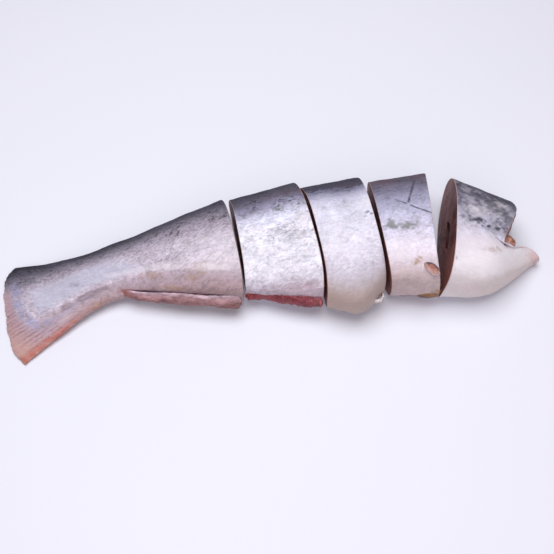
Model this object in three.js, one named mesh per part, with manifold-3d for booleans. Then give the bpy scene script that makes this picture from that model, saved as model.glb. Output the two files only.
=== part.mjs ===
import * as THREE from "three";
import { mergeVertices } from "three/addons/utils/BufferGeometryUtils.js";
import Module from "manifold-3d";

// A headless pangasius, cut across into five pieces that lie in a row on one flank. Millimetres.
// +X runs from the tail to the shoulder, +Y from the belly to the back, and +Z is up from the board.
// The origin is on the board, under the middle of the row.

const wasm = await Module();
wasm.setup();

// ---- Driving dimensions ----------------------------------------------------------------------

const ROW_CENTRE = [-3.93, 0.35]; // the drawing's point that lies over the origin
const REST = 0.46; // height of the widest line as a share of the thickness: the underside is pressed flat
const BACK_POWER = 2.1; // roundness of the back: 2 is an ellipse, more is boxier

// A rib is the outline of one upright cut. `dorsal` and `ventral` are the plan places of its back and belly
// edges, `thick` its height over the board, `belly` the roundness of the belly side, `bow` how far its
// middle stands towards +X, and `lean` how far its top leans towards +X for each millimetre of height.
const rib = (dorsal, ventral, thick, belly = 2.3, bow = 0, lean = 0) => ({
  dorsal,
  ventral,
  thick,
  belly,
  bow,
  lean,
});

const TAIL_RIBS = [
  rib([-188, 6.5], [-170.5, -69], 3, 2, -9), // trailing edge of the fin
  rib([-166, 8], [-146, -46.5], 8.5, 2, -4),
  rib([-143, 11], [-123, -28.5], 16, 2, -1), // the narrow wrist of the tail
  rib([-118, 19.5], [-101, -21], 22, 2.1),
  rib([-92, 30], [-76, -22], 28, 2.2),
  rib([-66, 41.5], [-50, -24.5], 33, 2.3, 1),
  rib([-40.5, 53], [-23.2, -27], 36, 2.3, 2.5), // first cut
];
const REAR_RIBS = [
  rib([-35, 51.5], [-21.6, -22.5], 38, 2.3, 1.5),
  rib([11, 64.8], [31.6, -27.5], 44, 2.4, 3),
];
const MIDDLE_RIBS = [
  rib([15.8, 59.5], [33.8, -32.5], 45, 2.5, 2.5),
  rib([29.6, 62.4], [45.5, -36], 46.5, 2.5, 1.5),
  rib([43.5, 64.6], [59.5, -36.3], 48, 2.6, 1), // the belly swells at the vent, then draws in
  rib([57.5, 66.8], [73.8, -21.5], 49, 2.8, 0.5),
];
const FRONT_RIBS = [
  rib([65.3, 62.7], [77.8, -22.8], 49, 2.8, -1, -0.04),
  rib([107.2, 69.7], [110.4, -24], 51, 3, -1.5, -0.08),
];
const SHOULDER_CUT = rib([123.5, 65.5], [113.2, -24.2], 51, 3, 0.4, 0.14);

// The front boundary of the shoulder piece in plan, from the back down the head cut, in at the notch, and
// out along the throat, which was left on as a tongue. `across` runs from 1 at the back to -1 at the belly.
const HEAD_CUT = [
  { across: 1, at: [165.5, 49.6] }, // nape
  { across: 0.86, at: [168.6, 38.5] },
  { across: 0.55, at: [163.6, 25] },
  { across: 0.12, at: [154.5, 5] }, // notch
  { across: -0.2, at: [161, 5.5] },
  { across: -0.55, at: [177, 14.5] },
  { across: -0.85, at: [185.3, 10.4] }, // tip of the throat
  { across: -1, at: [182.5, 7.4] },
];
const THROAT_SAG = 12; // how far the belly line of the shoulder piece stands below a straight one
const THROAT_TAPER = 0.3; // share of the thickness left at the tip of the throat
const THROAT_ROOT = 140; // x where the throat starts to thin
const THROAT_TIP = 190;
const HEAD_THICK = 43;

// The mouth of the belly cavity in a cut: its depth, its place across the cut, its size as shares of the
// cut's, and the height of its middle as a share of the piece's.
const CAVITY = { depth: 16, centre: -0.04, width: 0.25, height: 0.25, level: 0.51 };
const PLAIN = { depth: 0, centre: 0, width: 0.12, height: 0.12, level: 0.5 }; // a cut with no cavity

const FIN_RAYS = 15; // on each face of the tail fin
const RAY_HEIGHT = 0.45;
const RAYS_FADE = [0.05, 0.22]; // shares of the tail's length over which the rays sink into the flesh

// A crease in the skin of the rear steak, and the wrinkles at the front of the middle steak's belly.
const CREASE = { depth: 0.7, across: -0.42, climb: 0.1, width: 0.035, from: 0.3, to: 0.6 };
const WRINKLES = { height: 0.35, turns: 60, from: 0.86, low: -0.5, high: -0.2 };

// ---- Rings and shells ------------------------------------------------------------------------

const blend = (a, b, t) => a + (b - a) * t;
const smooth = (low, high, v) => THREE.MathUtils.smoothstep(v, low, high);

// Catmull-Rom through evenly spaced values.
function spline(values, t) {
  const span = Math.min(Math.floor(t * (values.length - 1)), values.length - 2);
  const u = t * (values.length - 1) - span;
  const v = (i) => values[THREE.MathUtils.clamp(span + i, 0, values.length - 1)];
  const [a, b, c, d] = [v(-1), v(0), v(1), v(2)];
  return b + 0.5 * u * (c - a + u * (2 * a - 5 * b + 4 * c - d + u * (3 * (b - c) + d - a)));
}

// The rib at t, from 0 to 1, along a list of ribs.
function ribAt(ribs, t) {
  const value = (pick) => spline(ribs.map(pick), t);
  return rib(
    [value((r) => r.dorsal[0]), value((r) => r.dorsal[1])],
    [value((r) => r.ventral[0]), value((r) => r.ventral[1])],
    value((r) => r.thick),
    value((r) => r.belly),
    value((r) => r.bow),
    value((r) => r.lean),
  );
}

// A point of a rib: across from -1 at the belly to 1 at the back, rise from -1 underneath to 1 on top.
function onRib(r, across, rise) {
  const middle = r.thick * REST;
  const z = Math.max(0, middle + (rise * r.thick) / 2);
  const side = (1 + across) / 2;
  const x = blend(r.ventral[0], r.dorsal[0], side) + r.bow * (1 - across ** 4) + r.lean * (z - middle);
  return new THREE.Vector3(x, blend(r.ventral[1], r.dorsal[1], side), z);
}

// Places `count` points round an outline. Powers over 2 square off its shoulders.
function ring(count, bellyPower, place) {
  return Array.from({ length: count }, (_, i) => {
    const turn = (i / count) * Math.PI * 2;
    const [c, s] = [Math.cos(turn), Math.sin(turn)];
    const power = c < 0 ? bellyPower : BACK_POWER;
    const across = Math.sign(c) * Math.abs(c) ** (2 / power);
    const rise = Math.abs(s) < 1e-9 ? 0 : Math.sign(s) * Math.abs(s) ** (2 / power);
    return place(across, rise);
  });
}

// Rings between an outline and a smaller one inside it, the outline itself left out.
function rimToCore(outline, core, steps) {
  return Array.from({ length: steps }, (_, k) =>
    outline.map((p, i) => p.clone().lerp(core[i], (k + 1) / steps)),
  );
}

// A cut face: rings from the outline in to the mouth of the belly cavity and down into it, or, where
// the depth is 0, to the middle of the face. `out` is the face's unit normal in plan.
function cutFace(outline, out, { depth, centre, width, height, level } = PLAIN) {
  const back = outline[0];
  const belly = outline[outline.length / 2];
  const top = Math.max(...outline.map((p) => p.z));
  const core = back.clone().lerp(belly, (1 - centre) / 2).setZ(top * level);
  const half = back.clone().sub(belly).setZ(0).multiplyScalar(width / 2);
  const tall = (height * top) / 2;
  const mouth = outline.map((_, i) => {
    const turn = (i / outline.length) * Math.PI * 2;
    return core.clone().addScaledVector(half, Math.cos(turn)).setZ(core.z + tall * Math.sin(turn));
  });
  const rings = rimToCore(outline, mouth, 3);
  for (const degrees of depth ? [30, 62] : []) {
    const a = THREE.MathUtils.degToRad(degrees);
    rings.push(mouth.map((p) => core.clone().lerp(p, Math.cos(a)).addScaledVector(out, -depth * Math.sin(a))));
  }
  return [...rings, [core.clone().addScaledVector(out, -depth)]];
}

// One closed surface through rings of equal count; a ring of one point closes an end.
function shell(rings) {
  const starts = [];
  const points = [];
  for (const r of rings) {
    starts.push(points.length);
    points.push(...r);
  }
  const faces = [];
  for (let k = 0; k + 1 < rings.length; k++) {
    const [one, two] = [rings[k], rings[k + 1]];
    const count = Math.max(one.length, two.length);
    const at = (which, i) => starts[which] + (i % rings[which].length);
    for (let i = 0; i < count; i++) {
      if (one.length > 1) faces.push(at(k, i), at(k, i + 1), at(k + 1, i));
      if (two.length > 1) faces.push(at(k, i + (one.length > 1 ? 1 : 0)), at(k + 1, i + 1), at(k + 1, i));
    }
  }
  const geometry = new THREE.BufferGeometry();
  geometry.setAttribute("position", new THREE.Float32BufferAttribute(points.flatMap((p) => p.toArray()), 3));
  geometry.setIndex(faces);
  return geometry;
}

// ---- Joining with manifold-3d ----------------------------------------------------------------

function solidOf(geometry) {
  const bare = geometry.clone();
  bare.deleteAttribute("normal");
  bare.deleteAttribute("uv");
  const merged = mergeVertices(bare, 1e-4);
  const corners = merged.index.array;
  const kept = [];
  for (let i = 0; i < corners.length; i += 3) {
    const [a, b, c] = [corners[i], corners[i + 1], corners[i + 2]];
    if (a !== b && b !== c && c !== a) kept.push(a, b, c);
  }
  const make = (order) =>
    new wasm.Manifold(
      new wasm.Mesh({
        numProp: 3,
        vertProperties: merged.attributes.position.array,
        triVerts: new Uint32Array(order),
      }),
    );
  const made = make(kept);
  return made.volume() > 0 ? made : make(kept.reverse());
}

function geometryOf(solid) {
  const mesh = solid.getMesh();
  const geometry = new THREE.BufferGeometry();
  geometry.setAttribute("position", new THREE.BufferAttribute(mesh.vertProperties, 3));
  geometry.setIndex(new THREE.BufferAttribute(mesh.triVerts, 1));
  geometry.computeVertexNormals();
  return geometry;
}

// ---- Small forms that stand on the pieces ----------------------------------------------------

// An egg-shaped lobe of flesh, turned in plan and then tipped, its ends towards and away from +X.
function lobe(at, [length, width, height], turn = 0, tip = 0) {
  const form = new THREE.SphereGeometry(1, 18, 10);
  form.scale(length / 2, width / 2, height / 2);
  form.rotateY(THREE.MathUtils.degToRad(-tip));
  form.rotateZ(THREE.MathUtils.degToRad(turn));
  form.translate(...at);
  return solidOf(form);
}

// A closed tube of rings: steps + 1 of them, each of `sides` points that `place` gives for a share of the
// tube's length and an angle round it.
function tube(steps, sides, place) {
  const rings = Array.from({ length: steps + 1 }, (_, k) =>
    Array.from({ length: sides }, (_, i) => place(k / steps, (i / sides) * Math.PI * 2)),
  );
  const middle = (r) => r.reduce((sum, p) => sum.add(p), new THREE.Vector3()).divideScalar(r.length);
  return solidOf(shell([[middle(rings[0])], ...rings, [middle(rings[steps])]]));
}

// A ridge of cut fin base along a belly line, through points of [x, y, z, half width, half height].
function finBase(line, steps, waves) {
  const endSize = 0.6; // its ends are blunt
  const endRun = 0.075; // share of the length over which they round off
  const unevenness = 0.12;
  return tube(steps, 14, (t, turn) => {
    const [x, y, z, halfWidth, halfHeight] = line[0].map((_, i) => spline(line.map((p) => p[i]), t));
    const size = blend(endSize, 1, Math.min(1, Math.min(t, 1 - t) / endRun));
    const wave = 1 + unevenness * Math.sin(t * waves * Math.PI * 2);
    const side = Math.cos(turn) * halfWidth * size * wave;
    return new THREE.Vector3(x, y + side, z + Math.sin(turn) * halfHeight * size);
  });
}

// A curl of belly skin: a strip of a given height and thickness, bent round a radius.
function curl(at, { radius, height, thickness, sweep }) {
  return tube(10, 8, (t, turn) => {
    const bend = THREE.MathUtils.degToRad(blend(sweep[0], sweep[1], t));
    const r = radius + (thickness / 2) * Math.cos(turn);
    const z = at[2] + (height / 2) * Math.sin(turn);
    return new THREE.Vector3(at[0] + r * Math.cos(bend), at[1] + r * Math.sin(bend), z);
  });
}

// ---- Pieces ----------------------------------------------------------------------------------

// The outward unit normal of a cut, in plan, towards +X (or -X for the rear cut of a piece).
function cutNormal(r, towards) {
  const line = new THREE.Vector3(r.dorsal[0] - r.ventral[0], r.dorsal[1] - r.ventral[1], 0).normalize();
  return new THREE.Vector3(line.y, -line.x, 0).multiplyScalar(towards);
}

// A steak between its first and last rib. `relief` raises the upper flank, in millimetres.
function steak(ribs, { count = 44, steps = 8, rear, front, relief = () => 0 }) {
  const walls = [];
  for (let k = 0; k <= steps; k++) {
    const t = k / steps;
    const r = ribAt(ribs, t);
    walls.push(
      ring(count, r.belly, (across, rise) => {
        const p = onRib(r, across, rise);
        p.z += rise > 0 ? rise * relief(t, across) : 0;
        return p;
      }),
    );
  }
  const rearFace = cutFace(walls[0], cutNormal(ribs[0], -1), rear);
  const frontFace = cutFace(walls[steps], cutNormal(ribs[ribs.length - 1], 1), front);
  return solidOf(shell([...rearFace.reverse(), ...walls, ...frontFace]));
}

// Tail piece: body, wrist and trimmed fin with its rays, and the cut base of the anal fin below.
function tailPiece() {
  const count = 72;
  const steps = 28;
  const walls = [];
  for (let k = 0; k <= steps; k++) {
    const t = (k / steps) ** 1.1;
    const r = ribAt(TAIL_RIBS, t);
    const ray = RAY_HEIGHT * (1 - smooth(...RAYS_FADE, t));
    walls.push(
      ring(count, r.belly, (across, rise) => {
        const p = onRib(r, across, rise);
        const raised = ray * Math.cos(across * FIN_RAYS * Math.PI) * Math.abs(rise);
        p.z = Math.max(0, p.z + Math.sign(rise) * raised);
        return p;
      }),
    );
  }
  const edge = walls[0].map((p) => new THREE.Vector3(p.x - 1, p.y, REST * TAIL_RIBS[0].thick));
  const face = cutFace(walls[steps], cutNormal(TAIL_RIBS[6], 1));
  const body = solidOf(shell([edge, ...walls, ...face]));
  const base = [
    [-105, -20.5, 11, 3, 3],
    [-92, -23, 12.5, 4.5, 3.6],
    [-66, -25.5, 14, 5.2, 4],
    [-44, -27.5, 15, 5.8, 4.2],
    [-25.2, -27.5, 15.5, 5.4, 4.6],
  ];
  return body.add(finBase(base, 16, 2.5));
}

// Steak behind the vent, with the last of the anal fin's base as a raw red edge.
function rearSteak() {
  const { depth, across: level, climb, width, from, to } = CREASE;
  const body = steak(REAR_RIBS, {
    relief: (t, across) =>
      -depth * Math.exp(-(((across - level - climb * t) / width) ** 2)) * smooth(from, to, t),
  });
  const base = [
    [-20, -20.5, 15, 3.6, 4],
    [-8, -21.6, 15.5, 3.6, 4.4],
    [6, -25, 16.5, 4.2, 4.6],
    [18, -26.6, 17.5, 4.2, 4.6],
    [30, -27.6, 18, 3.6, 4.4],
  ];
  return body.add(finBase(base, 14, 3));
}

// Steak at the vent: its belly was slit, and a curl of skin stands at the slit's end.
function middleSteak() {
  const { height, turns, from, low, high } = WRINKLES;
  const body = steak(MIDDLE_RIBS, {
    relief: (t, across) =>
      height * Math.cos(across * turns) * smooth(from, 1, t) * (1 - smooth(low, high, across)),
  });
  return body.add(curl([68.2, -25.2, 17], { radius: 4.2, height: 6.4, thickness: 1.8, sweep: [-175, 55] }));
}

// Steak with the cut stump of the breast fin low on its flank.
function frontSteak() {
  const body = steak(FRONT_RIBS, { front: CAVITY });
  const stump = lobe([101.5, -17.5, 41.5], [19, 9, 9], -38, -14);
  const scrap = lobe([104.5, -20.5, 14], [15, 7, 8], 4);
  return body.add(stump).add(scrap);
}

// Shoulder piece: the head was cut off on a slant, and the throat left on as a tongue.
function shoulderPiece() {
  const count = 40;
  const steps = 10;
  const frontPlan = (across) => {
    const last = HEAD_CUT.length - 1;
    let k = 0;
    while (k < last - 1 && across < HEAD_CUT[k + 1].across) k++;
    const u = (HEAD_CUT[k].across - across) / (HEAD_CUT[k].across - HEAD_CUT[k + 1].across);
    const t = (k + u) / last;
    return [spline(HEAD_CUT.map((p) => p.at[0]), t), spline(HEAD_CUT.map((p) => p.at[1]), t)];
  };
  const place = (t, across, rise) => {
    const rear = onRib(SHOULDER_CUT, across, rise);
    const [frontX, frontY] = frontPlan(across);
    const x = blend(rear.x, frontX, t);
    const onThroat = smooth(THROAT_ROOT, THROAT_TIP, x) * (1 - smooth(-0.3, 0.25, across));
    const thick = blend(SHOULDER_CUT.thick, HEAD_THICK, t) * blend(1, THROAT_TAPER, onThroat);
    const bulge = Math.max(0, Math.sin(Math.PI * t ** 0.95)) ** 1.5;
    const sag = THROAT_SAG * bulge * smooth(0.1, 1, -across);
    return new THREE.Vector3(x, blend(rear.y, frontY, t) - sag, Math.max(0, thick * REST + (rise * thick) / 2));
  };
  const walls = [];
  for (let k = 0; k <= steps; k++)
    walls.push(ring(count, SHOULDER_CUT.belly, (across, rise) => place(k / steps, across, rise)));
  // The head cut is a curtain: each top point runs straight down to the one below it.
  const last = walls[steps];
  const curtain = [0.5, 0].map((share) =>
    last.map((p, i) => {
      const under = last[(count - i) % count];
      return p.clone().setZ(blend((p.z + under.z) / 2, p.z, share));
    }),
  );
  const rear = cutFace(walls[0], cutNormal(SHOULDER_CUT, -1), CAVITY);
  const body = solidOf(shell([...rear.reverse(), ...walls, ...curtain]));
  return body.add(lobe([158.5, 11, 25], [15, 13, 15], 30, 10));
}

// ---- The row ---------------------------------------------------------------------------------

const SKIN = { silver: "#c9c4d2", pale: "#e6dfe4", dusk: "#a89fac", rose: "#d9bcbc" };
const PIECES = [
  ["tail_piece", tailPiece, SKIN.dusk],
  ["rear_steak", rearSteak, SKIN.silver],
  ["middle_steak", middleSteak, SKIN.silver],
  ["front_steak", frontSteak, SKIN.pale],
  ["shoulder_piece", shoulderPiece, SKIN.rose],
];

const row = new THREE.Group();
for (const [name, build, color] of PIECES) {
  const material = new THREE.MeshStandardMaterial({ color, roughness: 0.38, metalness: 0 });
  const mesh = new THREE.Mesh(geometryOf(build()), material);
  mesh.name = name;
  mesh.position.set(-ROW_CENTRE[0], -ROW_CENTRE[1], 0);
  row.add(mesh);
}

export default row;
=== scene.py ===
# %% [markdown]
# # A sliced pangasius, dressed for its picture
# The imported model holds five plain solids: a headless catfish cut across and left lying in a row.
# This lesson gives each of them a fine surface of its own: wet skin with a slate back, raw cut faces,
# fin rays, and the small scraps that a knife leaves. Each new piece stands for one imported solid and
# keeps its form, so nothing is fitted afterwards.

import math

import bpy
import numpy as np
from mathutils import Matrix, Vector


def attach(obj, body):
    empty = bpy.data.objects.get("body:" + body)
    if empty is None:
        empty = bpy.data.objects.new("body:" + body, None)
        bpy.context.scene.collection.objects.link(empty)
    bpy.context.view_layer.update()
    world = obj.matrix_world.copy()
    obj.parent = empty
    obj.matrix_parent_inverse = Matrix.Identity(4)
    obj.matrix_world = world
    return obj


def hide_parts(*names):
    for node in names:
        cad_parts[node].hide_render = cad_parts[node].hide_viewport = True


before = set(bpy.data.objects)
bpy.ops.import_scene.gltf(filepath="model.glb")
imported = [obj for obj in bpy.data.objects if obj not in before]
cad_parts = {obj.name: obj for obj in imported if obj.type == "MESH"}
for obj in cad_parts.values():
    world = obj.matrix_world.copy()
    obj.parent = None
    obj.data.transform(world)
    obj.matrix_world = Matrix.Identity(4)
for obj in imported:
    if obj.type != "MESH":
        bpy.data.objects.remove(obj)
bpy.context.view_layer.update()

# %% [markdown]
# ## Ribs: the drawing of the fish
# A loft needs cross sections. Here each one is a rib: the outline of an upright cut, told by the plan
# places of its back and belly edges, its thickness, and how round, bowed and slanted it is. A spline
# through a list of ribs gives the cut at any place between them, so two or four ribs are a steak.
# The numbers are the real fish's, in millimetres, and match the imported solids.

# %% Driving dimensions
ROW_CENTRE = np.array([-3.93, 0.35, 0.0])  # the drawing's point that lies over the origin
REST = 0.46  # height of the widest line as a share of the thickness
BACK_POWER = 2.1  # roundness of the back: 2 is an ellipse, more is boxier
SPINE = 0.12  # how far across the backbone lies
SPINE_RISE = 0.08  # and how far up
MM = 0.001


def rib(dorsal, ventral, thick, belly=2.3, bow=0.0, lean=0.0):
    return (*dorsal, *ventral, thick, belly, bow, lean)


# %% [markdown]
# The ribs run from the trailing edge of the fin to the cut at the shoulder. Each starts with the plan
# places of its back and its belly, then its thickness and, where they differ from the usual, the
# belly's roundness, the bow and the lean. Two are enough for a straight steak, and the tail has seven.

# %% Ribs of the slices
TAIL_RIBS = [
    rib((-188, 6.5), (-170.5, -69), 3, 2, -9),  # trailing edge of the fin
    rib((-166, 8), (-146, -46.5), 8.5, 2, -4),
    rib((-143, 11), (-123, -28.5), 16, 2, -1),  # the narrow wrist of the tail
    rib((-118, 19.5), (-101, -21), 22, 2.1),
    rib((-92, 30), (-76, -22), 28, 2.2),
    rib((-66, 41.5), (-50, -24.5), 33, 2.3, 1),
    rib((-40.5, 53), (-23.2, -27), 36, 2.3, 2.5),  # first cut
]
REAR_RIBS = [
    rib((-35, 51.5), (-21.6, -22.5), 38, 2.3, 1.5),
    rib((11, 64.8), (31.6, -27.5), 44, 2.4, 3),
]
MIDDLE_RIBS = [
    rib((15.8, 59.5), (33.8, -32.5), 45, 2.5, 2.5),
    rib((29.6, 62.4), (45.5, -36), 46.5, 2.5, 1.5),
    rib((43.5, 64.6), (59.5, -36.3), 48, 2.6, 1),  # the belly swells at the vent
    rib((57.5, 66.8), (73.8, -21.5), 49, 2.8, 0.5),
]
FRONT_RIBS = [
    rib((65.3, 62.7), (77.8, -22.8), 49, 2.8, -1, -0.04),
    rib((107.2, 69.7), (110.4, -24), 51, 3, -1.5, -0.08),
]
SHOULDER_CUT = rib((123.5, 65.5), (113.2, -24.2), 51, 3, 0.4, 0.14)

for name, ribs in (("tail", TAIL_RIBS), ("rear", REAR_RIBS), ("middle", MIDDLE_RIBS), ("front", FRONT_RIBS)):
    print(name, "has", len(ribs), "ribs from", ribs[0][0], "to", ribs[-1][0], "mm along the back")

# %% [markdown]
# The head came off on a slant and left the throat on, so the shoulder piece has no second rib. A line
# in plan tells its head cut instead. The belly cavity is told as shares of the rib that it opens in.

# %% Head cut, throat and belly cavity
HEAD_CUT = np.array([
    # across, x, y: from the nape down the head cut, in at the notch, out along the throat
    (1, 165.5, 49.6),
    (0.86, 168.6, 38.5),
    (0.55, 163.6, 25),
    (0.12, 154.5, 5),
    (-0.2, 161, 5.5),
    (-0.55, 177, 14.5),
    (-0.85, 185.3, 10.4),
    (-1, 182.5, 7.4),
])
THROAT_SAG = 12
THROAT_TAPER = 0.3
THROAT_ROOT = 140
THROAT_TIP = 190
HEAD_THICK = 43
CAVITY = {"depth": 16, "centre": -0.04, "width": 0.25, "height": 0.25, "level": 0.51}
print("head cut from", HEAD_CUT[0, 1:], "at the nape to", HEAD_CUT[-1, 1:], "under the throat")

# %% [markdown]
# ## Blends, steps and splines
# Three small functions carry all the shapes. NumPy works on whole rings at once, which keeps a fine
# mesh quick to make. A Catmull-Rom spline runs through its rows, so a rib stays where it was drawn.


# %% Maths for the loft
def blend(a, b, t):
    return a + (b - a) * t


def smooth(low, high, v):
    u = np.clip((np.asarray(v, float) - low) / (high - low), 0, 1)
    return u * u * (3 - 2 * u)


def spline(values, t):
    """Catmull-Rom through evenly spaced rows, at t from 0 to 1."""
    values = np.asarray(values, float)
    last = len(values) - 1
    scaled = np.asarray(t, float) * last
    span = np.clip(scaled.astype(int), 0, last - 1)
    u = scaled - span
    u = u[..., None] if values.ndim > 1 else u
    a, b, c, d = (values[np.clip(span + i, 0, last)] for i in (-1, 0, 1, 2))
    return b + 0.5 * u * (c - a + u * (2 * a - 5 * b + 4 * c - d + u * (3 * (b - c) + d - a)))


print("middle of the rear steak's ribs:", np.round(spline(REAR_RIBS, 0.5), 1))


# %% [markdown]
# ## Ribs and their outlines
# The outline of a cut is a superellipse. Its points are spaced evenly along its length rather than by
# angle, because even spacing keeps the faces square, and a square face takes relief best.


# %% Points of a rib
def on_rib(r, across, rise):
    """Points of ribs: across is -1 at the belly and 1 at the back, rise -1 underneath and 1 on top."""
    dorsal_x, dorsal_y, ventral_x, ventral_y, thick, _, bow, lean = np.moveaxis(np.asarray(r, float), -1, 0)
    middle = thick * REST
    z = np.maximum(0, middle + rise * thick / 2)
    side = (1 + across) / 2
    x = blend(ventral_x, dorsal_x, side) + bow * (1 - across**4) + lean * (z - middle)
    return np.stack([x, blend(ventral_y, dorsal_y, side), z], -1)


def outline(count, belly):
    """Across and rise of evenly spaced points, from the back over the top to the belly and home below."""
    turn = np.linspace(0, math.pi, 3000)
    power = np.where(np.cos(turn) < 0, belly, BACK_POWER)
    across = np.sign(np.cos(turn)) * np.abs(np.cos(turn)) ** (2 / power)
    rise = np.abs(np.sin(turn)) ** (2 / power)
    walked = np.append(0, np.cumsum(np.hypot(2 * np.diff(across), np.diff(rise))))
    even = np.linspace(0, walked[-1], count // 2 + 1)
    a, r = np.interp(even, walked, across), np.interp(even, walked, rise)
    return np.append(a, a[-2:0:-1]), np.maximum(np.append(r, -r[-2:0:-1]), -2 * REST)


print("outline of 12 points:", np.round(outline(12, 2.4)[0], 2))

# %% [markdown]
# ## Unevenness and normals
# Nothing on a fish is quite smooth. A sum of seeded sine waves gives soft bumps of a chosen size that
# are the same in every run, and the normals of the loft say which way to move the skin.


# %% Waves and normals
def swell(points, size, seed, waves=28):
    """Soft unevenness from -1 to 1 with bumps about `size` mm across: a sum of seeded waves."""
    draw = np.random.default_rng(seed)
    way = draw.normal(size=(waves, 3))
    way *= (draw.uniform(0.6, 1.4, waves) * math.tau / (2 * size) / np.linalg.norm(way, axis=1))[:, None]
    phase = draw.uniform(0, math.tau, waves)
    return np.sin(points @ way.T + phase).sum(-1) / math.sqrt(waves) * 0.8


def outward(grid):
    """Unit normals of a closed loft, given as rings of points."""
    around = np.roll(grid, -1, 1) - np.roll(grid, 1, 1)
    along = np.gradient(grid, axis=0)
    n = np.cross(around, along)
    n /= np.linalg.norm(n, axis=-1, keepdims=True) + 1e-9
    from_axis = grid - grid.mean(1, keepdims=True)
    return n * np.sign((n * from_axis).sum(-1).mean())


samples = swell(np.random.default_rng(1).uniform(0, 100, (1000, 3)), 7, 1)
print("bumps of 7 mm run from", samples.min().round(2), "to", samples.max().round(2))

# %% [markdown]
# ## Which way the faces look
# The volume of a closed mesh is the sum of the small pyramids from the origin to its triangles. It
# comes out below zero when the faces look inwards, so it tells both the size and the side.


# %% Volume of a mesh
def volume_of(mesh):
    mesh.calc_loop_triangles()
    corners = np.empty(len(mesh.loop_triangles) * 3, np.int32)
    mesh.loop_triangles.foreach_get("vertices", corners)
    co = np.empty(len(mesh.vertices) * 3)
    mesh.vertices.foreach_get("co", co)
    a, b, c = (co.reshape(-1, 3)[corners.reshape(-1, 3)[:, i]] for i in range(3))
    return float(np.einsum("ij,ij->i", a, np.cross(b, c)).sum() / 6)


# %% [markdown]
# ## From rings to a mesh
# A `Surface` collects vertices ring by ring with named marks for each vertex, such as how far across
# the fish it lies and how near a cut. The marks become mesh attributes, which the finishes read, so
# a pattern follows the skin instead of lying on it like a slide projected from one side.


# %% The surface builder
class Surface:
    def __init__(self):
        self.points, self.marks, self.faces, self.kinds = [], [], [], []

    def add(self, points, **marks):
        """Adds vertices and returns their indices, in the shape of the points' grid."""
        start = sum(len(p) for p in self.points)
        flat = points.reshape(-1, 3)
        shape = points.shape[:-1]
        self.points.append(flat)
        self.marks.append({k: np.broadcast_to(v, shape).reshape(-1) for k, v in marks.items()})
        return start + np.arange(len(flat)).reshape(shape)

    def span(self, grid, kind=0, closed=True):
        """Quads over a grid of vertex indices. Where two corners are one vertex, a triangle."""
        right = np.roll(grid, -1, 1) if closed else grid[:, 1:]
        left = grid if closed else grid[:, :-1]
        quads = np.stack([left[:-1], right[:-1], right[1:], left[1:]], -1).reshape(-1, 4)
        for quad in quads.tolist():
            face = [v for i, v in enumerate(quad) if v != quad[i - 1]]
            if len(face) > 2:
                self.faces.append(face)
                self.kinds.append(kind)

    def object(self, name, finishes):
        points = (np.concatenate(self.points) - ROW_CENTRE) * MM
        mesh = bpy.data.meshes.new(name)
        mesh.from_pydata(points.tolist(), [], self.faces)
        mesh.polygons.foreach_set("material_index", self.kinds)
        for key in sorted({k for m in self.marks for k in m}):
            values = [m.get(key, np.zeros(len(p))) for m, p in zip(self.marks, self.points)]
            layer = mesh.attributes.new(key, "FLOAT", "POINT")
            layer.data.foreach_set("value", np.concatenate(values).astype(np.float32))
        mesh.shade_smooth()
        for finish in finishes:
            mesh.materials.append(finish)
        made = bpy.data.objects.new(name, mesh)
        bpy.context.scene.collection.objects.link(made)
        volume = volume_of(mesh)
        if volume < 0:
            mesh.flip_normals()
        print(f"{name}: {len(mesh.vertices)} vertices, {abs(volume) * 1e6:.1f} ml")
        return made


# %% [markdown]
# ## Stains, streaks and creases
# Blood, bile and bruises are painted where they lie, and so are painted shade in creases, grooves and slits
# and a few painted highlights on ridges and the tops of flanks. Each mask is worked out at every vertex from
# its distance to a spot or a line, in millimetres, with waves added so that no edge is a clean circle.
# Painting an image would do the same, but masks from distances need no file and no unwrapping.


# %% Masks by distance
def trace(points, path):
    """Distance to a path of straight stretches, the share of it walked, and the side: 1 is left of it."""
    path = np.asarray(path, float)
    flat = points[..., : path.shape[1]]
    nearest = np.full(flat.shape[:-1], 1e9)
    walked, side = np.zeros_like(nearest), np.zeros_like(nearest)
    for k, (a, b) in enumerate(zip(path[:-1], path[1:])):
        way = b - a
        share = np.clip(((flat - a) @ way) / (way @ way), 0, 1)
        gap = flat - (a + share[..., None] * way)
        far = np.linalg.norm(gap, axis=-1)
        closer = far < nearest
        nearest = np.where(closer, far, nearest)
        walked = np.where(closer, (k + share) / (len(path) - 1), walked)
        side = np.where(closer, np.sign(way[0] * gap[..., 1] - way[1] * gap[..., 0]), side)
    return nearest, walked, side


def streak(points, path, width, seed, ragged=0.35):
    """A soft line along a path, as strong as 1, that fades over its ends."""
    far, walked, _ = trace(points, path)
    far = far / width + ragged * swell(points, 2.5 * width, seed)
    return (1 - smooth(0.4, 1.2, far)) * smooth(0, 0.12, walked) * (1 - smooth(0.88, 1, walked))


def blots(points, spots, seed, ragged=0.3):
    """Soft stains. A spot is x, y, z, its radius along the fish, its radius across it, and its strength."""
    made = np.zeros(points.shape[:-1])
    for x, y, z, long, wide, strength in spots:
        aside = np.hypot(points[..., 1] - y, points[..., 2] - z)
        reach = np.hypot((points[..., 0] - x) / long, aside / wide)
        bays = swell(points, 0.7 * min(long, wide) + 1, seed) + swell(points, 1.6, seed + 1)
        reach = reach + ragged * bays
        made = np.maximum(made, strength * (1 - smooth(0.1, 1.3, reach)))
    return made


print("a streak's strength on its line, 1 and 3 mm beside it:", end=" ")
print(streak(np.array([[0, 0, 0], [0, 1, 0], [0, 3, 0]]), [(-9, 0, 0), (9, 0, 0)], 2, 1).round(2))

# %% [markdown]
# ## Walls of skin
# The skin of a piece is a wall of rings. Beside a cut the rings stand closer, because the knife leaves
# the skin's edge slightly rolled in, and that small roll is what catches the light.

# %% Rings
LIP = [0.3, 0.8, 1.5]  # millimetres from a cut where the edge of the skin has rings of its own


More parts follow.
